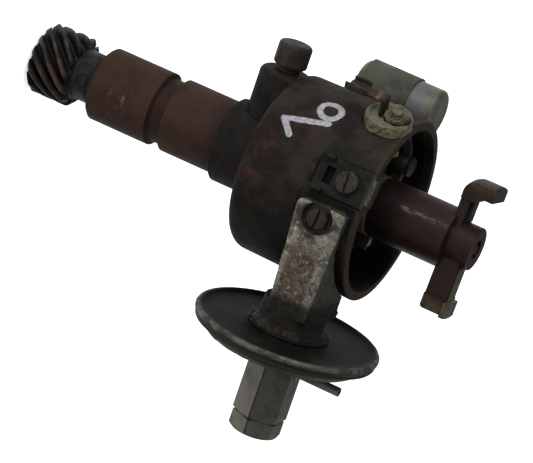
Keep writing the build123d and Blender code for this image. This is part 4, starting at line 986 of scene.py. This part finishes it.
arm_head = cheese_head(
    "arm_screw_head", head_r=3.55, head_h=2.25, shank_r=1.95, shank_long=4.6, slot_wide=1.0, slot_deep=1.2)
arm_seat_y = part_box("vacuum_screw")[0].y + ARM_SEAT * MM
settle(arm_head, Matrix.Translation((ARM_SCREW_X * MM, arm_seat_y, ARM_SCREW_Z * MM))
       @ Matrix.Rotation(math.radians(90), 4, "X") @ Matrix.Rotation(math.radians(ARM_SLOT_TURN), 4, "Z"))
stand_for(arm_head, "vacuum_screw", screw_steel)

# %% [markdown]
# ## Eased copies
# Real castings, pressings and mouldings have no knife edges, and light catches
# the rounding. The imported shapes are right, so a copy is taken, its loose
# triangles are merged and its flat facets dissolved, and a Bevel modifier
# rounds only what meets at a clear angle. Each piece says how far it is worn.

# %% One eased copy
def eased(node, finish, width, segments=2):
    """Takes a node's shape, rounds its edges by width millimetres and stands for it."""
    piece = merged_copy(node, node + "_eased")
    bpy.ops.mesh.dissolve_limited(angle_limit=math.radians(1))
    bpy.ops.object.mode_set(mode="OBJECT")
    modify(piece, "BEVEL", width=width * MM, segments=segments, limit_method="ANGLE",
           angle_limit=CLEAR_ANGLE, use_clamp_overlap=True, harden_normals=False)
    settle(piece)
    stand_for(piece, node, finish)


EASED = {
    "rotor": (bakelite, 0.4, 3),
    "rotor_electrode": (brass, 0.15),
    "rotor_spring": (lug_copper, 0.12),
    "clip_bracket_a": (bracket_steel, 0.22),
    "clip_bracket_b": (bracket_steel, 0.22),
    "spring_housing": (hex_steel, 0.35),
    "end_plug": (hex_steel, 0.35),
    "condenser_strap": (strap_zinc, 0.2),
    "pivot_post": (gear_steel, 0.25),
    "breaker_arm": (plate_steel, 0.25),
    "contact_bracket": (plate_steel, 0.2),
    "governor_plate": (plate_steel, 0.15),
    "flyweight_a": (weight_steel, 0.4),
    "flyweight_b": (weight_steel, 0.4),
    "moving_plate": (plate_steel, 0.15),
    "base_screw_a": (screw_steel, 0.08),
    "base_screw_b": (screw_steel, 0.08),
    "contact_screw": (screw_steel, 0.1),
    "cam_screw": (screw_steel, 0.15),
    "breaker_heel": (fibre, 0.15),
    "fixed_contact": (tungsten, 0.1),
    "moving_contact": (tungsten, 0.1),
    "condenser_can": (can_zinc, 0.2),
}
for node, worn in EASED.items():
    eased(node, *worn)

# %% [markdown]
# ## The cast arm
# The arm that carries the vacuum unit is a rough zinc casting, etched by years
# of damp. A bevel alone would look machined. A voxel remesh turns the shape
# into an even skin, smoothing rounds every corner as casting does, and a cloud
# texture then eats a few tenths of a millimetre inwards, never outwards.

# %% Cast and etched
def shrunken_skin(node, voxel, rounds, bite, size, depth=3):
    """An even skin of a node's shape, rounded and etched inwards."""
    piece = merged_copy(node, node + "_skin")
    bpy.ops.object.mode_set(mode="OBJECT")
    modify(piece, "REMESH", mode="VOXEL", voxel_size=voxel * MM)
    modify(piece, "SMOOTH", factor=0.5, iterations=rounds)
    clouded(piece, node + "_etch", size, bite, depth)
    return piece


arm = shrunken_skin("vacuum_bracket", voxel=0.4, rounds=4, bite=0.45, size=4.5, depth=1)
clouded(arm, "arm_pores", size=1.3, bite=0.28, depth=3)
modify(arm, "SMOOTH", factor=0.4, iterations=2)
settle(arm)
stand_for(arm, "vacuum_bracket", cast_alloy)

# %% [markdown]
# ## The dish, spun like the real one
# A pressed dish is round, so its profile is drawn once and carried round. The
# profile is walked ring by ring: a circle is extruded, scaled to the next
# radius and moved to the next height. The rim is a full rolled bead with the
# crimp's small second bead behind it, which a flat band would never show.

# %% Rings walked along a profile
def turned(name, rings, around=96):
    """A closed ring-shaped body about Z from (radius, height) points in millimetres."""
    bpy.ops.object.select_all(action="DESELECT")
    first_r, first_z = rings[0]
    bpy.ops.mesh.primitive_circle_add(
        vertices=around, radius=first_r * MM, location=(0, 0, first_z * MM))
    piece = named(name)
    bpy.ops.object.transform_apply(location=True, rotation=True, scale=True)
    edit(piece, "EDGE")
    bpy.ops.mesh.select_all(action="SELECT")
    radius, height = first_r, first_z
    for next_r, next_z in (*rings[1:], rings[0]):
        bpy.ops.mesh.extrude_region_move(TRANSFORM_OT_translate={"value": (0, 0, (next_z - height) * MM)})
        bpy.ops.transform.resize(value=(next_r / radius, next_r / radius, 1))
        radius, height = next_r, next_z
    bpy.ops.mesh.select_all(action="SELECT")
    bpy.ops.mesh.remove_doubles(threshold=0.001 * MM)
    bpy.ops.mesh.normals_make_consistent(inside=False)
    bpy.ops.object.mode_set(mode="OBJECT")
    return piece


BEAD_AHEAD = 0.6
DISH_RINGS = [
    (8.6, 0.0), (10.9, 0.0), (13.3, 0.05), (14.6, 0.5), (15.8, 0.9), (19.0, 1.1), (24.0, 1.1),
    (28.0, 0.9), (29.8, 0.6), (30.5, 0.15), (31.1, -0.3), (31.8, -0.5), (32.5, -0.35), (33.0, 0.15),
    (33.2, 0.8), (33.15, 1.5), (32.9, 2.1), (32.5, 2.5), (32.35, 2.8), (32.5, 3.1), (32.55, 3.5),
    (32.3, 3.95), (31.7, 4.15), (30.6, 4.15), (29.8, 4.1), (29.8, 3.6), (31.0, 3.5), (32.0, 3.4),
    (32.1, 2.4), (32.1, 1.2), (31.2, 0.9), (29.8, 1.35), (26.0, 1.9), (20.0, 1.9), (15.8, 1.65),
    (13.0, 0.9), (8.6, 0.8),
]
dish = turned("dish_spun", DISH_RINGS)
modify(dish, "SUBSURF", levels=1, render_levels=1)
clouded(dish, "dish_dents", size=9, bite=0.16)
dish_middle = Vector((DISH_FRONT + BEAD_AHEAD, DISH_Y, DISH_Z)) * MM
vacuum_place = Matrix.Translation(dish_middle) @ Matrix.Rotation(math.radians(90), 4, "Y")
settle(dish, vacuum_place)
stand_for(dish, "dish_front", dish_steel)

# %% Domed back shell
BACK_RINGS = [
    (30.6, 4.0), (30.9, 4.5), (30.5, 5.1), (29.6, 5.6), (28.9, 6.1), (28.2, 6.8), (27.2, 7.4), (25.6, 7.9),
    (23.4, 8.15), (15.0, 8.2), (6.9, 8.2), (6.9, 7.4), (15.0, 7.4), (23.2, 7.3), (25.6, 6.7), (27.6, 5.6),
    (29.2, 4.2), (29.8, 3.9),
]
back_shell = turned("dish_back_spun", BACK_RINGS)
modify(back_shell, "SUBSURF", levels=1, render_levels=1)
clouded(back_shell, "shell_waves", size=7, bite=0.8, depth=1, middle=0.75)
settle(back_shell, vacuum_place)
stand_for(back_shell, "dish_back", dish_steel)

# %% [markdown]
# ## Braze at the throat
# The cast throat is brazed to the dish. Braze flows into the corner as an
# uneven bead, so a thin torus is sunk into the corner and made lumpy.

# %% Braze bead
THROAT_R = 13.9
BEAD_R = 1.0
BEAD_SUNK = -0.1
bpy.ops.object.select_all(action="DESELECT")
bpy.ops.mesh.primitive_torus_add(
    major_radius=THROAT_R * MM, minor_radius=BEAD_R * MM, major_segments=160, minor_segments=18)
bead = named("throat_braze")
clouded(bead, "braze_lumps", size=2.4, bite=0.7, middle=0.75)
settle(bead, vacuum_place @ Matrix.Translation((0, 0, BEAD_SUNK * MM)))
bead.data.materials.append(dish_steel.material)
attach(bead, "housing")
print("bead:", len(bead.data.polygons), "faces")

# %% [markdown]
# ## The weathered insulator
# The terminal's insulator is a cream moulding whose skin has eroded in layers.
# A wood texture makes rings; read through a small empty on the stud's axis,
# the rings run round the stud as the real layers do.

# %% Layered insulator
RING_OUT = 30
RING_SIZE = 6
ring_centre = bpy.data.objects.new("ring_centre", None)
bpy.context.scene.collection.objects.link(ring_centre)
ring_centre.matrix_world = outward(TERMINAL_TURN, STUD_HIGH, RING_OUT) @ Matrix.Scale(RING_SIZE * MM, 4)
bpy.context.view_layer.update()
cream = shrunken_skin("terminal_insulator", voxel=0.28, rounds=3, bite=0.15, size=0.8)
layers = bpy.data.textures.new("insulator_layers", "WOOD")
layers.wood_type = "RINGNOISE"
layers.noise_scale = 0.6
layers.turbulence = 9
modify(cream, "DISPLACE", texture=layers, texture_coords="OBJECT", texture_coords_object=ring_centre,
       strength=0.4 * MM, mid_level=1.0)
alone(ring_centre)
bpy.ops.object.delete()
settle(cream)
stand_for(cream, "terminal_insulator", insulator)

# %% Ringed nut
NUT_FACE = 38.7
NUT_RINGS = [(0.1, 36.7), (4.4, 36.7), (4.6, 37.2), (4.5, 38.3)]
for ridge_r in (4.1, 3.3, 2.5, 1.7):
    NUT_RINGS += [(ridge_r, NUT_FACE), (ridge_r - 0.2, NUT_FACE - 0.35)]
    NUT_RINGS += [(ridge_r - 0.5, NUT_FACE - 0.35), (ridge_r - 0.6, NUT_FACE)]
NUT_RINGS += [(0.6, NUT_FACE + 0.05), (0.1, NUT_FACE - 0.1)]
nut = turned("ringed_nut", NUT_RINGS, around=64)
clouded(nut, "nut_rough", size=1.5, bite=0.35, middle=0.8)
settle(nut, outward(TERMINAL_TURN, STUD_HIGH))
stand_for(nut, "terminal_nut", insulator)

# %% [markdown]
# ## Terminal's metal
# The washer and stud only lose their sharp edges. The crimp lug is thin strip,
# but thick with old solder and dirt, so its skin is swelled instead of etched:
# the same remesh with the sign of the displacement turned round.

# %% Washer, stud and lug
for node, finish, width in (("terminal_stud", insulator, 0.25), ("terminal_washer", insulator, 0.15)):
    eased(node, finish, width)
lug = shrunken_skin("terminal_lug", voxel=0.24, rounds=2, bite=-0.45, size=1.6)
settle(lug)
stand_for(lug, "terminal_lug", lug_copper)

# %% [markdown]
# ## Grease cup
# The cup's cap is a thick turned thimble, rubbed round by fingers. The base
# below it is a threaded stem with a collar, mostly in shadow.

# %% Cup
for node, width in (("grease_cup_cap", 0.55), ("grease_cup_base", 0.25)):
    eased(node, cup_iron, width, segments=3)

# %% [markdown]
# ## Worn teeth
# A skew gear slides as it turns, so its teeth lose their sharp crests first.
# The same skin as the cast arm's, with a finer voxel and a very small bite,
# rounds every crest and root without moving a tooth.

# %% Gear
gear = shrunken_skin("drive_gear", voxel=0.26, rounds=3, bite=0.15, size=1.5)
settle(gear)
stand_for(gear, "drive_gear", gear_steel)

# %% [markdown]
# ## Springs
# The vacuum unit's return spring was packed as a coil of four-sided wire, and
# the close-wound governor springs as ridged rods with hooks. Their place and
# size are right, so a merged copy of each is subdivided once, which rounds the
# wire and the ridges, and is shaded smooth.

# %% Springs
FLAT_PAIR = math.radians(60)
for node in ("governor_spring_a", "governor_spring_b", "vacuum_spring"):
    coil = merged_copy(node, node + "_wire")
    bpy.ops.mesh.tris_convert_to_quads(face_threshold=FLAT_PAIR, shape_threshold=FLAT_PAIR)
    bpy.ops.object.mode_set(mode="OBJECT")
    modify(coil, "SUBSURF", levels=1, render_levels=1)
    settle(coil)
    stand_for(coil, node, spring_steel)
